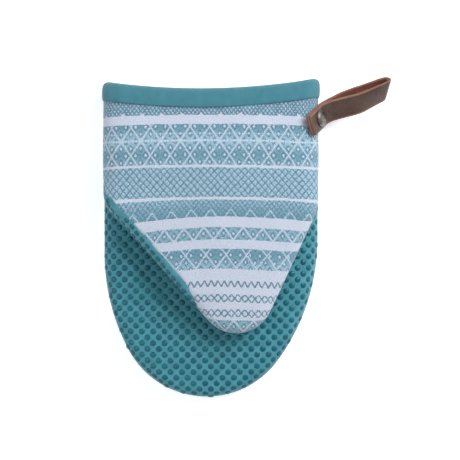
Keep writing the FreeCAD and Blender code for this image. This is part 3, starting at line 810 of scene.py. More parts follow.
class Number:
    """A number worked out inside a shader. Ordinary arithmetic on it adds Math nodes."""

    def __init__(self, tree, value):
        self.tree = tree
        self.value = value

    def node(self, operation, *others):
        """One Math node on this number and others."""
        made = self.tree.nodes.new("ShaderNodeMath")
        made.operation = operation
        for socket, other in zip(made.inputs, (self, *others)):
            plug(self.tree, other, socket)
        return Number(self.tree, made.outputs[0])

    def __add__(self, other):
        return self.node("ADD", other)

    def __sub__(self, other):
        return self.node("SUBTRACT", other)

    def __mul__(self, other):
        return self.node("MULTIPLY", other)

    def __truediv__(self, other):
        return self.node("DIVIDE", other)

    def over(self, other):
        """1 where this is more than other."""
        return self.node("GREATER_THAN", other)

    def under(self, other):
        """1 where this is less than other."""
        return self.node("LESS_THAN", other)

    def larger(self, other):
        return self.node("MAXIMUM", other)

    def smaller(self, other):
        return self.node("MINIMUM", other)

    def size(self):
        """Without its sign."""
        return self.node("ABSOLUTE")

    def stepped(self, step):
        """Rounded down to whole threads."""
        return self.node("SNAP", step)

    def wave(self, period, start=0.0):
        """A triangle wave: 0 at start and every period, 1 half-way between."""
        return (self - start).node("PINGPONG", period / 2) * (2 / period)

    def blend(self, other, share):
        """This where share is 0, other where share is 1."""
        return self + (Number(self.tree, other) - self) * share


def plug(tree, value, socket):
    """Give a socket a number, a colour or another socket's value."""
    if isinstance(value, Number):
        value = value.value
    if isinstance(value, bpy.types.NodeSocket):
        tree.links.new(value, socket)
    else:
        socket.default_value = value


def new_material(name):
    """A material with one Principled shader. Gives the material, its tree and the shader."""
    material = bpy.data.materials.new(name)
    material.use_nodes = True
    tree = material.node_tree
    return material, tree, tree.nodes["Principled BSDF"]


def add_node(tree, kind, **values):
    """A node with some of its sockets set, named by the socket with _ for space."""
    node = tree.nodes.new(kind)
    for name, value in values.items():
        plug(tree, value, node.inputs[name.replace("_", " ")])
    return node


def noise_at(tree, coordinates, scale, detail=2.0, roughness=0.5):
    """Noise as a Number."""
    node = add_node(
        tree, "ShaderNodeTexNoise", Vector=coordinates, Scale=scale, Detail=detail, Roughness=roughness
    )
    return Number(tree, node.outputs["Fac"])


def ramp(tree, factor, stops):
    """Colours along a factor, from (place, colour) stops."""
    node = tree.nodes.new("ShaderNodeValToRGB")
    plug(tree, factor, node.inputs[0])
    elements = node.color_ramp.elements
    for element, (place, colour) in zip(elements, stops[:2]):
        element.position = place
        element.color = (*colour, 1)
    for place, colour in stops[2:]:
        elements.new(place).color = (*colour, 1)
    return node.outputs["Color"]


def mixed(tree, factor, first, second, kind="MIX"):
    """Two colours mixed."""
    node = tree.nodes.new("ShaderNodeMix")
    node.data_type = "RGBA"
    node.blend_type = kind
    plug(tree, factor, node.inputs[0])
    for value, socket in ((first, node.inputs[6]), (second, node.inputs[7])):
        plug(tree, (*value, 1) if isinstance(value, tuple) else value, socket)
    return node.outputs[2]


def bumped(tree, shader, height, depth):
    """Relief from a height."""
    node = add_node(tree, "ShaderNodeBump", Height=height, Distance=depth, Strength=1.0)
    tree.links.new(node.outputs["Normal"], shader.inputs["Normal"])


def set_shader(shader, **values):
    """Constant values on a shader's own sockets, named with _ for space."""
    for name, value in values.items():
        shader.inputs[name.replace("_", " ")].default_value = value


def cloth_place(tree):
    """The flat cloth coordinates of a point in millimetres, across and along, and the raw vector."""
    uv = tree.nodes.new("ShaderNodeUVMap")
    uv.uv_map = "cloth"
    parts = add_node(tree, "ShaderNodeSeparateXYZ", Vector=uv.outputs["UV"])
    to_mm = 1000 / UV_PER_METRE
    across = Number(tree, parts.outputs["X"]) * to_mm
    along = Number(tree, parts.outputs["Y"]) * to_mm
    return across, along, uv.outputs["UV"]


def object_place(tree):
    """A point's place in its own object."""
    return tree.nodes.new("ShaderNodeTexCoord").outputs["Object"]


def weave(across, along, thread):
    """Height of a plain weave of threads that wide."""
    over = (across * (2 * math.pi / thread)).node("SINE")
    under = (along * (2 * math.pi / thread)).node("SINE")
    return over * under


# Rows of the woven pattern from the binding down: how deep each one ends in millimetres, what fills it, and
# how far its figures are moved across.
PERIOD = 12.7
FINE = 4.35
ROWS = [
    (4.9, "specks", 0),
    (10.8, "plain", 0),
    (37.3, "lattice", -0.9),
    (38.9, "plain", 0),
    (57.9, "hatch", 0),
    (59.6, "plain", 0),
    (70.4, "peaks", 0),
    (77.0, "plain", 0),
    (85.2, "zigzag", -4.7),
    (90.8, "plain", 0),
    (103.9, "diamonds", -3.3),
    (111.4, "plain", 0),
    (115.7, "dark_zigzag", 0),
    (120.3, "plain", 0),
    (125.5, "dark_chain", 0),
    (129.9, "plain", 0),
    (135.1, "dark_chain", 0),
    (137.0, "plain", 0),
    (170.0, "zigzag", 2.0),
]
# how light the threads are, from 0 to 1
SLATE, TEAL, MIDDLE, PALE, LINE, WHITE = 0.06, 0.3, 0.52, 0.68, 0.86, 1.0


def crossing(across, depth, period, half_height, start, width):
    """1 on the lines of a diamond lattice that crosses itself at across 0, depth start."""
    x = across.wave(period)
    y = depth.wave(2 * half_height, start)
    return (x - y).size().under(width)


def with_seeds(tone, across, depth, start):
    """Small light diamonds with slate rims, each row moved half a step across."""
    x = across.wave(PERIOD / 2, PERIOD / 4)
    y = depth.wave(0.73 * PERIOD, start)
    spot = (x + y).smaller((x + y) * -1 + 2.0)
    return tone.blend(SLATE, spot.under(0.56)).blend(LINE, spot.under(0.3))


def row_tone(kind, across, depth, start, height):
    """How light the threads of one row of the pattern are."""
    tree = across.tree
    white = Number(tree, WHITE)
    if kind == "plain":
        return white.blend(0.93, crossing(across, depth, PERIOD / 3, 3.0, start, 0.2))
    if kind == "specks":
        specks = crossing(across, depth, FINE * 0.6, 1.7, start, 0.36)
        peaks = across.wave(PERIOD, PERIOD / 2).under((depth - (start + height - 1.5)) * 0.2)
        return Number(tree, PALE).blend(SLATE, specks).blend(WHITE, peaks)
    if kind == "lattice":
        first = start + 1.4
        ground = Number(tree, TEAL).blend(PALE, depth.wave(18.5, first) * 1.1)
        tone = with_seeds(ground.smaller(PALE), across, depth, first)
        upper = (depth - (first + 4.6)).size().under(0.4) * across.wave(2.1).over(0.3)
        lower = (depth - (first + 9.2)).size().under(0.45) * across.wave(3.2).over(0.25)
        tone = tone.blend(LINE - 0.06, upper).blend(LINE, lower)
        return tone.blend(LINE + 0.04, crossing(across, depth, PERIOD, 9.25, first, 0.075))
    if kind == "hatch":
        lines = crossing(across, depth, FINE, 2.38, start, 0.2)
        flecks = crossing(across, depth, FINE / 2, 1.19, start + 0.6, 0.3)
        return Number(tree, PALE + 0.07).blend(MIDDLE + 0.08, flecks).blend(SLATE + 0.04, lines)
    if kind == "peaks":
        lines = crossing(across, depth, FINE * 0.72, 1.8, start, 0.22)
        sink = ((depth - start) * (1 / height)).larger(0.0)
        apex = start + height - 4.8
        tone = Number(tree, PALE).blend(TEAL, sink).blend(SLATE + 0.06, lines)
        peaks = crossing(across, depth, PERIOD, 8.0, apex, 0.08) * depth.over(apex)
        return tone.blend(PALE + 0.1, peaks)
    if kind == "zigzag":
        tone = with_seeds(Number(tree, MIDDLE), across - PERIOD / 4, depth, start + 4.3)
        return tone.blend(LINE + 0.04, crossing(across, depth, PERIOD, 8.2, start, 0.09))
    if kind == "diamonds":
        first = start + 4.1
        ground = Number(tree, TEAL).blend(PALE, depth.wave(17.0, first - 0.5) * 0.9)
        tone = with_seeds(ground, across, depth, first)
        return tone.blend(LINE + 0.04, crossing(across, depth, PERIOD + 0.4, 8.5, first, 0.08))
    if kind == "dark_zigzag":
        y = (depth - start) / height
        x = across.wave(FINE)
        return white.blend(SLATE + 0.1, (x - y).size().under(0.24))
    if kind == "dark_chain":
        lines = crossing(across, depth, FINE, 2.6, start, 0.24)
        return Number(tree, WHITE - 0.06).blend(SLATE + 0.1, lines)
    raise ValueError(kind)


def patterned_fabric():
    """The woven fabric: rows of diamonds, zigzags and plain stripes in white and blue-green."""
    material, tree, shader = new_material("patterned_fabric")
    across_mm, along_mm, raw = cloth_place(tree)
    drift = (noise_at(tree, raw, 9.0) - 0.5) * 1.0
    jitter = (noise_at(tree, raw, 75.0, 1.0) - 0.5) * 1.1
    thread = 0.42
    across = (across_mm + drift + jitter).stepped(thread)
    depth = ((along_mm + drift - jitter) * -1 + PATTERN_TOP / MM).stepped(thread)
    start, kind, shift = ROWS[0]
    tone = row_tone(kind, across - shift, depth, 0.0, start)
    for end, kind, shift in ROWS[1:]:
        row = row_tone(kind, across - shift, depth, start, end - start)
        tone = tone.blend(row.value, depth.over(start))
        start = end
    mottle = noise_at(tree, raw, 150.0, 2.0) - 0.5
    slub = add_node(tree, "ShaderNodeMapping", Vector=raw, Scale=(60.0, 7.0, 1.0))
    streak = noise_at(tree, slub.outputs["Vector"], 4.0, 2.0) - 0.5
    tone = tone + mottle * 1.15 + streak * 0.25 - 0.02
    colour = ramp(tree, tone, [
        (0.0, (0.122, 0.229, 0.333)),
        (0.12, (0.153, 0.271, 0.374)),
        (0.3, (0.153, 0.368, 0.469)),
        (0.52, (0.292, 0.507, 0.626)),
        (0.68, (0.410, 0.639, 0.775)),
        (0.86, (0.598, 0.792, 0.932)),
        (1.0, (0.785, 0.771, 0.891)),
    ])
    blush = (noise_at(tree, slub.outputs["Vector"], 1.3, 1.0) - 0.46) * 1.6
    white = tone.over(0.9)
    colour = mixed(tree, (white * blush).larger(0.0), colour, (0.80, 0.72, 0.82))
    specks = noise_at(tree, raw, 125.0, 3.0, 0.7)
    grain = ramp(tree, specks, [(0.35, (0.74, 0.755, 0.79)), (0.62, (1, 1, 1))])
    colour = mixed(tree, 1.0, colour, grain, "MULTIPLY")
    plug(tree, colour, shader.inputs["Base Color"])
    set_shader(shader, Roughness=0.88, Sheen_Weight=0.25, Sheen_Roughness=0.5, Specular_IOR_Level=0.2)
    height = weave(across_mm, along_mm, 0.62) * 0.35 + tone * 0.5 + mottle * 0.6
    bumped(tree, shader, height, 0.4 * MM)
    return material


def plain_fabric(name, deep, pale, thread, relief, diagonal=True):
    """Plain cloth with a visible weave: a twill if diagonal, with uneven colour."""
    material, tree, shader = new_material(name)
    across, along, raw = cloth_place(tree)
    patches = noise_at(tree, raw, 14.0, 3.0)
    fibres = noise_at(tree, raw, 330.0, 2.0)
    if diagonal:
        rib = ((across + along) * (2 * math.pi / thread)).node("SINE") * 0.6
        rib = rib + weave(across, along, thread * 0.8) * 0.4
    else:
        rib = weave(across, along, thread)
    share = (patches - 0.5) * 0.7 + (fibres - 0.5) * 1.0 + rib * 0.13 + 0.5
    plug(tree, ramp(tree, share, [(0.15, deep), (0.85, pale)]), shader.inputs["Base Color"])
    set_shader(shader, Roughness=0.8, Sheen_Weight=0.2, Sheen_Roughness=0.45, Specular_IOR_Level=0.25)
    bumped(tree, shader, rib * 0.5 + fibres, relief)
    return material


def silicone():
    """Glossy dark blue-green rubber."""
    material, tree, shader = new_material("silicone")
    coordinates = object_place(tree)
    tint = noise_at(tree, coordinates, 90.0, 2.0)
    plug(tree, ramp(tree, tint, [(0.3, (0.002, 0.088, 0.120)), (0.7, (0.006, 0.130, 0.165))]),
         shader.inputs["Base Color"])
    smear = noise_at(tree, coordinates, 420.0, 2.0)
    plug(tree, smear * 0.2 + 0.14, shader.inputs["Roughness"])
    set_shader(shader, Specular_IOR_Level=0.32)
    bumped(tree, shader, smear, 0.03 * MM)
    return material


def leather(name, deep, pale, scale, relief, roughness):
    """Leather: pores and creases over uneven brown."""
    material, tree, shader = new_material(name)
    coordinates = object_place(tree)
    cells = tree.nodes.new("ShaderNodeTexVoronoi")
    cells.feature = "DISTANCE_TO_EDGE"
    plug(tree, coordinates, cells.inputs["Vector"])
    cells.inputs["Scale"].default_value = scale
    pores = Number(tree, cells.outputs["Distance"]).smaller(0.25) * 4.0
    cloudy = noise_at(tree, coordinates, 55.0, 4.0, 0.6)
    grain = noise_at(tree, coordinates, 900.0, 2.0)
    share = cloudy * 0.9 + grain * 0.35 + pores * 0.12 - 0.25
    plug(tree, ramp(tree, share, [(0.2, deep), (0.85, pale)]), shader.inputs["Base Color"])
    plug(tree, grain * 0.2 + roughness, shader.inputs["Roughness"])
    set_shader(shader, Specular_IOR_Level=0.4)
    bumped(tree, shader, pores + grain * 0.6, relief)
    return material


def rivet_metal():
    """Antique brass, darker and lighter in random noise patches."""
    material, tree, shader = new_material("rivet_metal")
    coordinates = object_place(tree)
    worn = noise_at(tree, coordinates, 320.0, 4.0, 0.65)
    plug(tree, ramp(tree, worn, [(0.35, (0.058, 0.053, 0.048)), (0.65, (0.215, 0.198, 0.176))]),
         shader.inputs["Base Color"])
    set_shader(shader, Metallic=0.9)
    plug(tree, worn * 0.3 + 0.25, shader.inputs["Roughness"])
    bumped(tree, shader, worn, 0.05 * MM)
    return material


def floor_paint():
    """Plain matt white that glows a little."""
    material, _, shader = new_material("floor_paint")
    set_shader(shader, Base_Color=(0.93, 0.93, 0.93, 1), Roughness=0.9, Specular_IOR_Level=0.1)
    set_shader(shader, Emission_Color=(1, 1, 1, 1), Emission_Strength=FLOOR_GLOW)
    return material


PATTERN_TOP = float(edge_y(0)) - BINDING_DEPTH


def pattern_coordinates(flat):
    """The front panel's flat coordinates with the weave's bow and skew: its rows sag at the sides."""
    across, along = flat[:, 0], flat[:, 1]
    lower = smooth((32 * MM - along) / (23 * MM))
    bow = (across / (68 * MM)) ** 2 * (1.3 + 2.6 * lower) * MM
    skew = 0.05 * lower * np.maximum(-across, 0)
    return np.column_stack([across, along + bow + skew])


# ---------------------------------------------------------------- dots


def surface_of(piece):
    """A piece's shown surface: its flat mesh as a tree, and its triangles in both spaces."""
    graph = bpy.context.evaluated_depsgraph_get()
    shown = piece.evaluated_get(graph)
    mesh = shown.to_mesh()
    mesh.calc_loop_triangles()
    places = [v.co.copy() for v in mesh.vertices]
    normals = [v.normal.copy() for v in mesh.vertices]
    layer = mesh.uv_layers["cloth"].data
    flats, corners = [], []
    for triangle in mesh.loop_triangles:
        flats.append([Vector((*(layer[loop].uv / UV_PER_METRE), 0)) for loop in triangle.loops])
        corners.append(list(triangle.vertices))
    shown.to_mesh_clear()
    points = [p for flat in flats for p in flat]
    tree = BVHTree.FromPolygons(points, [(3 * n, 3 * n + 1, 3 * n + 2) for n in range(len(flats))])
    return tree, flats, corners, places, normals


def dome_profile():
    """Radius and height of a dot from its foot upwards, without its crown."""
    turns = np.linspace(0, math.pi / 2, 5)
    radius = DOT_WIDTH / 2 * np.cos(turns) ** 0.8
    height = DOT_HEIGHT * np.sin(turns)
    return list(zip(radius[:-1], height[:-1]))


def make_dots(name, base, within, material):
    """Domes of silicone on a piece's surface in half-dropped rows, where within(flat x, flat y) allows."""
    tree, flats, corners, places, normals = surface_of(base)
    profile = dome_profile()
    points, faces = [], []
    reach = 24
    for row in range(-2 * reach, 2 * reach + 1):
        for column in range(-reach, reach + 1):
            x = (column + (0.5 if row % 2 else 0)) * DOT_PITCH
            y = row * DOT_PITCH / 2
            if not within(x, y):
                continue
            found, _, index, away = tree.find_nearest(Vector((x, y, 0)))
            if found is None or away > 0.1 * MM:
                continue
            flat, corner = flats[index], corners[index]
            spot = barycentric_transform(Vector((x, y, 0)), *flat, *[places[c] for c in corner])
            up = sum((normals[c] for c in corner), Vector()).normalized()
            side = up.cross(Vector((0.3, 1, 0.2))).normalized()
            other = up.cross(side)
            first = len(points)
            for radius, height in [(profile[0][0] * 1.06, -0.5 * MM)] + profile:
                for number in range(DOT_SIDES):
                    angle = 2 * math.pi * number / DOT_SIDES
                    ring = side * math.cos(angle) + other * math.sin(angle)
                    points.append(spot + ring * radius + up * height)
            points.append(spot + up * DOT_HEIGHT)
            rings = len(profile) + 1
            faces += bands(rings, DOT_SIDES, first)
            top = first + (rings - 1) * DOT_SIDES
            for number in range(DOT_SIDES):
                faces.append((top + number, top + (number + 1) % DOT_SIDES, top + DOT_SIDES))
            faces.append(tuple(first + number for number in reversed(range(DOT_SIDES))))
    print(name, "has", len(faces) // (DOT_SIDES * rings + 1), "dots")
    return new_piece(name, points, faces, material)


# ---------------------------------------------------------------- binding


def cuff_loop(count):
    """A function of y and out that gives count places round the cuff, on its surface and moved out."""
    turns = np.linspace(0, 1, count, endpoint=False)
    lower_corner, shoulder = EDGE_ROUND * math.pi / 2, SHOULDER_ROUND * math.pi / 2
    flat_low, flat_high = HALF_WIDTH - EDGE_ROUND, HALF_WIDTH - SHOULDER_ROUND

    def ring(y, out):
        """The loop at y, as it is and moved out along its normals."""
        top = float(cuff_top(y))
        side = top - EDGE_ROUND - SHOULDER_ROUND
        half = flat_low + lower_corner + side + shoulder + flat_high
        place, normal = [], []
        for turn in turns:
            length = turn * 2 * half
            sign = 1 if length <= half else -1
            length = length if length <= half else 2 * half - length
            if length < flat_low:
                spot, out_way = (length, 0.0), (0.0, -1.0)
            elif length < flat_low + lower_corner:
                angle = (length - flat_low) / EDGE_ROUND
                spot = (flat_low + EDGE_ROUND * math.sin(angle), EDGE_ROUND * (1 - math.cos(angle)))
                out_way = (math.sin(angle), -math.cos(angle))
            elif length < flat_low + lower_corner + side:
                spot = (HALF_WIDTH, EDGE_ROUND + length - flat_low - lower_corner)
                out_way = (1.0, 0.0)
            elif length < half - flat_high:
                angle = (length - flat_low - lower_corner - side) / SHOULDER_ROUND
                x = flat_high + SHOULDER_ROUND * math.cos(angle)
                spot = (x, top - SHOULDER_ROUND * (1 - math.sin(angle)))
                out_way = (math.cos(angle), math.sin(angle))
            else:
                spot, out_way = (half - length, top), (0.0, 1.0)
            place.append((sign * spot[0], spot[1]))
            normal.append((sign * out_way[0], out_way[1]))
        place, normal = np.array(place), np.array(normal)
        moved = place + normal * out
        moved[:, 1] = np.maximum(moved[:, 1], 0.0)
        return place, moved

    return ring


def binding_profile():
    """The binding across its width: distance below the cuff's edge and out of the mitt's surface."""
    wall = WALL + BINDING_FREE
    fold = (wall + 0.9 * MM) / 2
    middle = 0.9 * MM - fold
    outer = [
        (BINDING_DEPTH - 0.2 * MM, -0.9 * MM),
        (BINDING_DEPTH, 0.1 * MM),
        (BINDING_DEPTH - 0.5 * MM, 0.65 * MM),
        (BINDING_DEPTH - 1.6 * MM, 0.95 * MM),
        (BINDING_DEPTH - 4 * MM, 1.15 * MM),
        (BINDING_DEPTH - 7 * MM, 1.15 * MM),
        (fold, 0.9 * MM),
    ]
    turn = [(fold * (1 - math.sin(a)), middle + fold * math.cos(a))
            for a in np.linspace(0.35, math.pi - 0.35, 7)]
    inner = [
        (fold, -wall),
        (BINDING_DEPTH - 6 * MM, -wall - 0.1 * MM),
        (BINDING_DEPTH - 1.5 * MM, -wall),
        (BINDING_DEPTH, -wall + 0.5 * MM),
        (BINDING_DEPTH - 0.4 * MM, -wall + 1.1 * MM),
    ]
    return outer + turn + inner


def make_binding(material):
    """Plain cloth folded over the cuff's edge."""
    count = RING_POINTS
    ring = cuff_loop(count)
    points, flat = [], []
    profile = binding_profile()
    length = 0.0
    for row, (below, out) in enumerate(profile):
        if row:
            length += math.dist(profile[row - 1], profile[row])
        place, _ = ring(EDGE_LOW - below, 0.0)
        y = edge_y(place[:, 0]) - below
        for number in range(count):
            base, moved = ring_at(ring, y[number], out, number)
            at = Vector((base[0] * 30, y[number] * 30, base[1] * 30))
            ripple = noise.noise(at * 1.4) * 0.5 * MM + noise.noise(at * 4.2) * 0.22 * MM
            pull = ripple if 0.5 * MM < below < BINDING_DEPTH - 1 * MM else ripple * 0.3
            way = np.array(moved) - np.array(base)
            size = np.linalg.norm(way)
            way = way / size * np.sign(out) if size > 1e-9 else np.zeros(2)
            z = max(moved[1] + way[1] * pull, 0.0)
            points.append((moved[0] + way[0] * pull, y[number], z))
            flat.append((number * 2.9 * MM, length))
    faces = [(a, d, c, b) for a, b, c, d in bands(len(profile), count)]
    return refine(new_piece("cuff_edge_binding", points, faces, material, flat))


RING_CACHE = {}


def ring_at(ring, y, out, number):
    """One point of the cuff's loop at its own y to half a millimetre, on the surface and moved out."""
    key = (round(y / (0.5 * MM)), out)
    if key not in RING_CACHE:
        RING_CACHE[key] = ring(key[0] * 0.5 * MM, out)
    place, moved = RING_CACHE[key]
    return place[number], moved[number]


# ---------------------------------------------------------------- strap and rivet


def rivet_frame():
    """Directions along the strap, out along the rivet, and across the strap."""
    down = Vector((RIVET_OUT.z, 0, -RIVET_OUT.x)).normalized()
    along = down * math.cos(STRAP_TURN) + RIVET_OUT.cross(down) * math.sin(STRAP_TURN)
    return along, RIVET_OUT, along.cross(RIVET_OUT)


def bent_line(route, step):
    """Straight runs joined by tangent arcs, as points about step apart."""
    corners = [np.array(stop[:2], float) for stop in route]
    points = [corners[0]]
    for number in range(1, len(route) - 1):
        corner = corners[number]
        into = corners[number - 1] - corner
        away = corners[number + 1] - corner
        into, away = into / np.linalg.norm(into), away / np.linalg.norm(away)
        half = math.acos(np.clip(into @ away, -1, 1)) / 2
        reach = route[number][2] / math.tan(half)
        middle = (into + away) / np.linalg.norm(into + away)
        centre = corner + middle * route[number][2] / math.sin(half)
        first, last = corner + into * reach, corner + away * reach
        turn = math.pi - 2 * half
        count = max(3, math.ceil(turn * route[number][2] / step))
        run = math.ceil(np.linalg.norm(first - points[-1]) / step)
        points += [points[-1] + (first - points[-1]) * share for share in np.linspace(0, 1, run + 1)[1:-1]]
        start_way, end_way = first - centre, last - centre
        for share in np.linspace(0, 1, count + 1):
            way = start_way * math.sin((1 - share) * turn) + end_way * math.sin(share * turn)
            points.append(centre + way / math.sin(turn))
    run = math.ceil(np.linalg.norm(corners[-1] - points[-1]) / step)
    points += [points[-1] + (corners[-1] - points[-1]) * share for share in np.linspace(0, 1, run + 1)[1:]]
    return np.array(points)


def make_strap(grain, flesh, edge):
    """One leather strip folded into a loop: smooth outside, rough inside, pale cut edges."""
    along, out, across = rivet_frame()
    line = bent_line(STRAP_ROUTE, 1.3 * MM)
    way = np.gradient(line, axis=0)
    way /= np.linalg.norm(way, axis=1)[:, None]
    side = np.column_stack([way[:, 1], -way[:, 0]])
    half, wall, soft = STRAP_WIDTH / 2, STRAP_WALL / 2, 0.35 * MM
    section = [(-half + soft, wall), (-half * 0.33, wall), (half * 0.33, wall), (half - soft, wall),
               (half, wall - soft), (half, -wall + soft),
               (half - soft, -wall), (half * 0.33, -wall), (-half * 0.33, -wall), (-half + soft, -wall),
               (-half, -wall + soft), (-half, wall - soft)]
    kinds = [0, 0, 0, 2, 2, 2, 1, 1, 1, 2, 2, 2]
    points = []
    for number, (spot, normal) in enumerate(zip(line, side)):
        for cross, thick in section:
            here = spot + normal * thick
            lean = STRAP_TWIST * cross * float(smooth((spot[0] - 8 * MM) / (34 * MM)))
            wear = noise.noise(Vector((number * 0.21, cross * 400, thick * 300))) * 0.12 * MM
            place = RIVET + along * here[0] + out * (here[1] + lean + wear) + across * (cross + wear)
            points.append(place)
    size = len(section)
    faces = bands(len(line), size)
    faces.append(tuple(reversed(range(size))))
    faces.append(tuple((len(line) - 1) * size + corner for corner in range(size)))
    slots = kinds * (len(line) - 1) + [2, 2]
    strap = new_piece("leather_strap", points, faces, grain)
    strap.data.materials.append(flesh)
    strap.data.materials.append(edge)
    for polygon, slot in zip(strap.data.polygons, slots):
        polygon.material_index = slot
    trim_mesh(strap)
    return refine(strap)


def trim_mesh(piece):
    """Turn all faces outwards, and keep the edges round big end faces sharp under subdivision."""
    work = bmesh.new()
    work.from_mesh(piece.data)
    bmesh.ops.recalc_face_normals(work, faces=work.faces)
    layer = work.edges.layers.float.get("crease_edge") or work.edges.layers.float.new("crease_edge")
    for face in work.faces:
        if len(face.verts) > 4:
            for edge in face.edges:
                edge[layer] = 0.8
    work.to_mesh(piece.data)
    work.free()


def turned(name, profile, place, axis, material):
    """A round solid from (radius, height) points, closed at both ends."""
    sides = 48
    side = axis.orthogonal().normalized()
    other = axis.cross(side)
    points = []
    for radius, height in profile:
        for number in range(sides):
            angle = 2 * math.pi * number / sides
            ring = side * math.cos(angle) + other * math.sin(angle)
            points.append(place + axis * height + ring * radius)
    faces = bands(len(profile), sides)
    top = len(points)
    points += [place + axis * profile[-1][1], place + axis * profile[0][1]]
    for number in range(sides):
        after = (number + 1) % sides
        faces.append((top - sides + number, top - sides + after, top))
        faces.append((after, number, top + 1))
    return new_piece(name, points, faces, material)


def make_rivet_head(material):
    """The rivet's cap: a low dome with a rolled rim."""
    base = UPPER_LEAF + STRAP_WALL / 2 + STRAP_GAP
    radius = cap_width() / 2
    profile = [
        (radius * 0.9, 0.0),
        (radius * 0.985, 0.12 * MM),
        (radius, 0.4 * MM),
        (radius * 0.985, 0.68 * MM),
        (radius * 0.93, 0.86 * MM),
        (radius * 0.88, 0.84 * MM),
        (radius * 0.84, 0.9 * MM),
    ]
    for angle in np.linspace(0.35, math.pi / 2, 9)[:-1]:
        profile.append((radius * 0.84 * math.cos(angle) ** 0.9, 0.72 * MM + 1.48 * MM * math.sin(angle)))
    return turned("rivet_head", [(r, h + base) for r, h in profile], RIVET, RIVET_OUT, material)


def cap_width():
    """Diameter of the frame's rivet cap, measured across the rivet's own Y direction."""
    low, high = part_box("rivet_cap")
    return (high.y - low.y) / math.sqrt(1 - RIVET_OUT.y ** 2)


# ---------------------------------------------------------------- the scene round the mitt


def make_floor(material):
    """A plain pale floor."""
    side = 3.0
    mesh = bpy.data.meshes.new("floor")
    corners = [(-side, -side, 0), (side, -side, 0), (side, side, 0), (-side, side, 0)]
    mesh.from_pydata(corners, [], [(0, 1, 2, 3)])
    mesh.materials.append(material)
    floor = placed("floor", mesh)
    floor.location.z = -FLOOR_DROP
    floor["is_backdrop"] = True


def make_light(name, place, size, power, target):
    """A soft rectangular lamp aimed at a point."""
    data = bpy.data.lights.new(name, "AREA")
    data.shape = "RECTANGLE"
    data.size, data.size_y = size
    data.energy = power
    lamp = placed(name, data)
    lamp.location = place
    lamp.rotation_euler = (Vector(target) - Vector(place)).to_track_quat("-Z", "Y").to_euler()


def make_camera():
    """Straight above the mitt, with a long lens."""
    data = bpy.data.cameras.new("camera")
    data.sensor_width = 36
    data.lens = data.sensor_width * (CAMERA_HEIGHT - MIDDLE_HEIGHT) / VIEW_WIDTH
    camera = placed("camera", data)
    camera.location = (*CAMERA_OVER, CAMERA_HEIGHT)
    bpy.context.scene.camera = camera


def light_scene():
    """Even studio light, strongest from the upper right."""
    scene = bpy.context.scene
    world = bpy.data.worlds.new("studio")
    world.use_nodes = True
    sky = world.node_tree.nodes["Background"]
    set_shader(sky, Color=(0.97, 0.98, 1.0, 1), Strength=SKY_STRENGTH)
    scene.world = world
    scene.view_settings.view_transform = "Standard"
    for name, place, size, power in LAMPS:
        make_light(name, place, size, power, (0, 0, 0.02))


def make_lining(name, panels, material):
    """The inner face of the wall behind some panels."""
    points, faces, sewn = sew(panels)
    mesh = bpy.data.meshes.new("scratch")
    mesh.from_pydata(points.tolist(), [], faces.tolist())
    normals = np.zeros(len(points) * 3, np.float32)
    mesh.vertex_normals.foreach_get("vector", normals)
    inner = points - normals.reshape(-1, 3) * (WALL - 0.5 * MM)
    flat = np.zeros((len(points), 2))
    for panel, where in zip(panels, sewn):
        flat[where] = panel.flat
    bpy.data.meshes.remove(mesh)
    return new_piece(name, inner, faces[:, ::-1], material, flat)


def cut_area(panels):
    """Area of flat panels together."""
    total = 0
    for panel in panels:
        a, b, c = (panel.flat[panel.faces[:, n]] for n in range(3))
        total += np.abs((b - a)[:, 0] * (c - a)[:, 1] - (b - a)[:, 1] * (c - a)[:, 0]).sum() / 2
    return float(total)


def declare_sheets(hand_lining, hand_panels, thumb_lining, thumb_panels):
    """Works out the sizes of the cloth behind the linings and of the binding, and keeps none of them."""
    for lining, panels in ((hand_lining, hand_panels), (thumb_lining, thumb_panels)):
        width = max(float(np.ptp(panel.flat[:, 0])) for panel in panels)
        length = sum(float(np.ptp(panel.flat[:, 1])) for panel in panels)
        cut_area(panels)
    profile = binding_profile()
    across = sum(math.dist(a, b) for a, b in zip(profile, profile[1:]))
    corners = (4 - math.pi) * (EDGE_ROUND + SHOULDER_ROUND)
    around = 2 * (2 * HALF_WIDTH + cuff_top(EDGE_LOW)) - corners


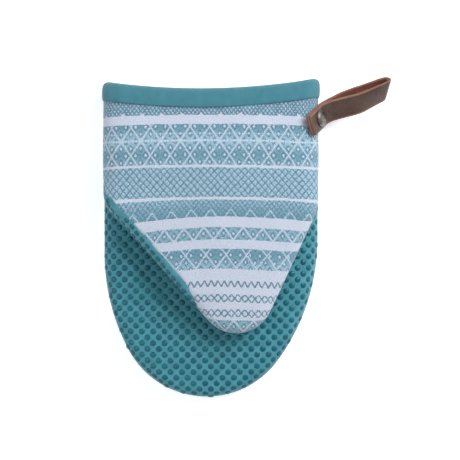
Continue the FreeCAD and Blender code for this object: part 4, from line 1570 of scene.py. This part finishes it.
def build():
    """Everything, in order."""
    make_camera()
    light_scene()
    make_floor(floor_paint())
    patterned = patterned_fabric()
    grip = plain_fabric("grip_fabric", (0.037, 0.182, 0.236), (0.100, 0.385, 0.478), 0.8, 0.22 * MM)
    bound = plain_fabric("binding_fabric", (0.038, 0.165, 0.212), (0.068, 0.238, 0.298), 0.5, 0.1 * MM)
    undyed = ((0.62, 0.60, 0.55), (0.78, 0.76, 0.71))
    inside = plain_fabric("lining_fabric", *undyed, 0.6, 0.12 * MM, diagonal=False)
    rubber = silicone()
    metal = rivet_metal()
    grain = leather("leather_grain", (0.036, 0.018, 0.013), (0.118, 0.064, 0.052), 900.0, 0.1 * MM, 0.38)
    flesh = leather("leather_flesh", (0.12, 0.03, 0.02), (0.24, 0.085, 0.055), 1500.0, 0.22 * MM, 0.75)
    raw_edge = leather("leather_edge", (0.19, 0.085, 0.05), (0.36, 0.20, 0.15), 1700.0, 0.15 * MM, 0.65)

    panels = shape_mitt()
    front = panels["front"]
    front_flat = pattern_coordinates(front.flat)
    front_piece = new_piece("front_cover", front.place, front.faces, patterned, front_flat)
    back = panels["back"]
    back_piece = new_piece("back_cover", lifted_at_binding(back.place), back.faces, patterned, back.flat)
    palm = panels["finger_grip"]
    palm_piece = new_piece("finger_grip_cover", palm.place, palm.faces, grip, palm.flat)
    thumb = panels["thumb_grip"]
    thumb_piece = new_piece("thumb_grip_cover", thumb.place, thumb.faces, grip, thumb.flat)
    covers = (front_piece, back_piece, palm_piece, thumb_piece)
    for piece in covers:
        refine(piece)

    palm_slack = slack_of(PALM_RISE, EDGE_ROUND)
    palm_line, palm_out = MITT + MITT_OUT * palm_slack, MITT_OUT
    thumb_line, thumb_out = THUMB + THUMB_OUT * slack_of(UNDER_RISE, UNDER_ROUND), THUMB_OUT

    def on_palm(x, y):
        """True where the palm has a dot."""
        length, _ = nearest(np.array([[x, y]]), palm_line, palm_out)
        return y < CROTCH_Y - CROTCH_DOT_EDGE and length[0] > PALM_DOT_EDGE

    def on_thumb(x, y):
        """True where the thumb's grip side or its lip has a dot."""
        place = np.array([[x, y]])
        length, out = nearest(place, thumb_line, thumb_out)
        width = lip_width(place - out * max(-length[0], 0))[0]
        return y < HINGE.y - HINGE_REACH and length[0] > -width + THUMB_DOT_EDGE

    palm_dots = make_dots("finger_dots", palm_piece, on_palm, rubber)
    thumb_dots = make_dots("thumb_dots", thumb_piece, on_thumb, rubber)
    for piece in covers:
        thicken(piece, FABRIC)
    binding = make_binding(bound)
    hand_lining = make_lining("hand_lining", [back, palm], inside)
    thumb_lining = make_lining("thumb_lining", [front, thumb], inside)
    strap = make_strap(grain, flesh, raw_edge)
    head = make_rivet_head(metal)
    for node in ("rivet_post", "rivet_washer"):
        node_object = frame["nodes"][node]
        node_object.data.materials.clear()
        node_object.data.materials.append(metal)

    for piece in (front_piece, thumb_piece, thumb_dots, thumb_lining):
        hinge_blend(piece)
    for piece in (back_piece, palm_piece, palm_dots, binding, hand_lining, head):
        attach(piece, "mitt")
    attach(strap, "loop")

    fabric = "patterned_fabric"
    cuff_and_thumb = ("cuff_front_panel", "cuff_front_wadding", "thumb_front_panel", "thumb_front_wadding")
    front_linings = ("cuff_front_lining", "thumb_front_lining", "thumb_grip_lining")
    table = (
        (front_piece, fabric, cuff_and_thumb),
        (back_piece, fabric, ("back_panel", "back_wadding")),
        (palm_piece, "grip_fabric", ("finger_grip_panel", "finger_grip_wadding")),
        (thumb_piece, "grip_fabric", ("thumb_grip_panel", "thumb_grip_wadding")),
        (palm_dots, "silicone", ("finger_grip_dots",)),
        (thumb_dots, "silicone", ("thumb_grip_dots",)),
        (binding, "binding_fabric", ("cuff_binding",)),
        (hand_lining, "lining", ("back_lining", "finger_grip_lining")),
        (thumb_lining, "lining", front_linings),
        (strap, "leather", ("hanging_strap",)),
        (head, "rivet_metal", ("rivet_cap",)),
    )
    for piece, slot, replaced in table:
        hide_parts(*replaced)

    declare_sheets(hand_lining, [back, palm], thumb_lining, [front, thumb])


build()

boxes = {"cad": CAD_BOX, "visual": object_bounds()}
{name: [list(corner) for corner in box] for name, box in boxes.items()}
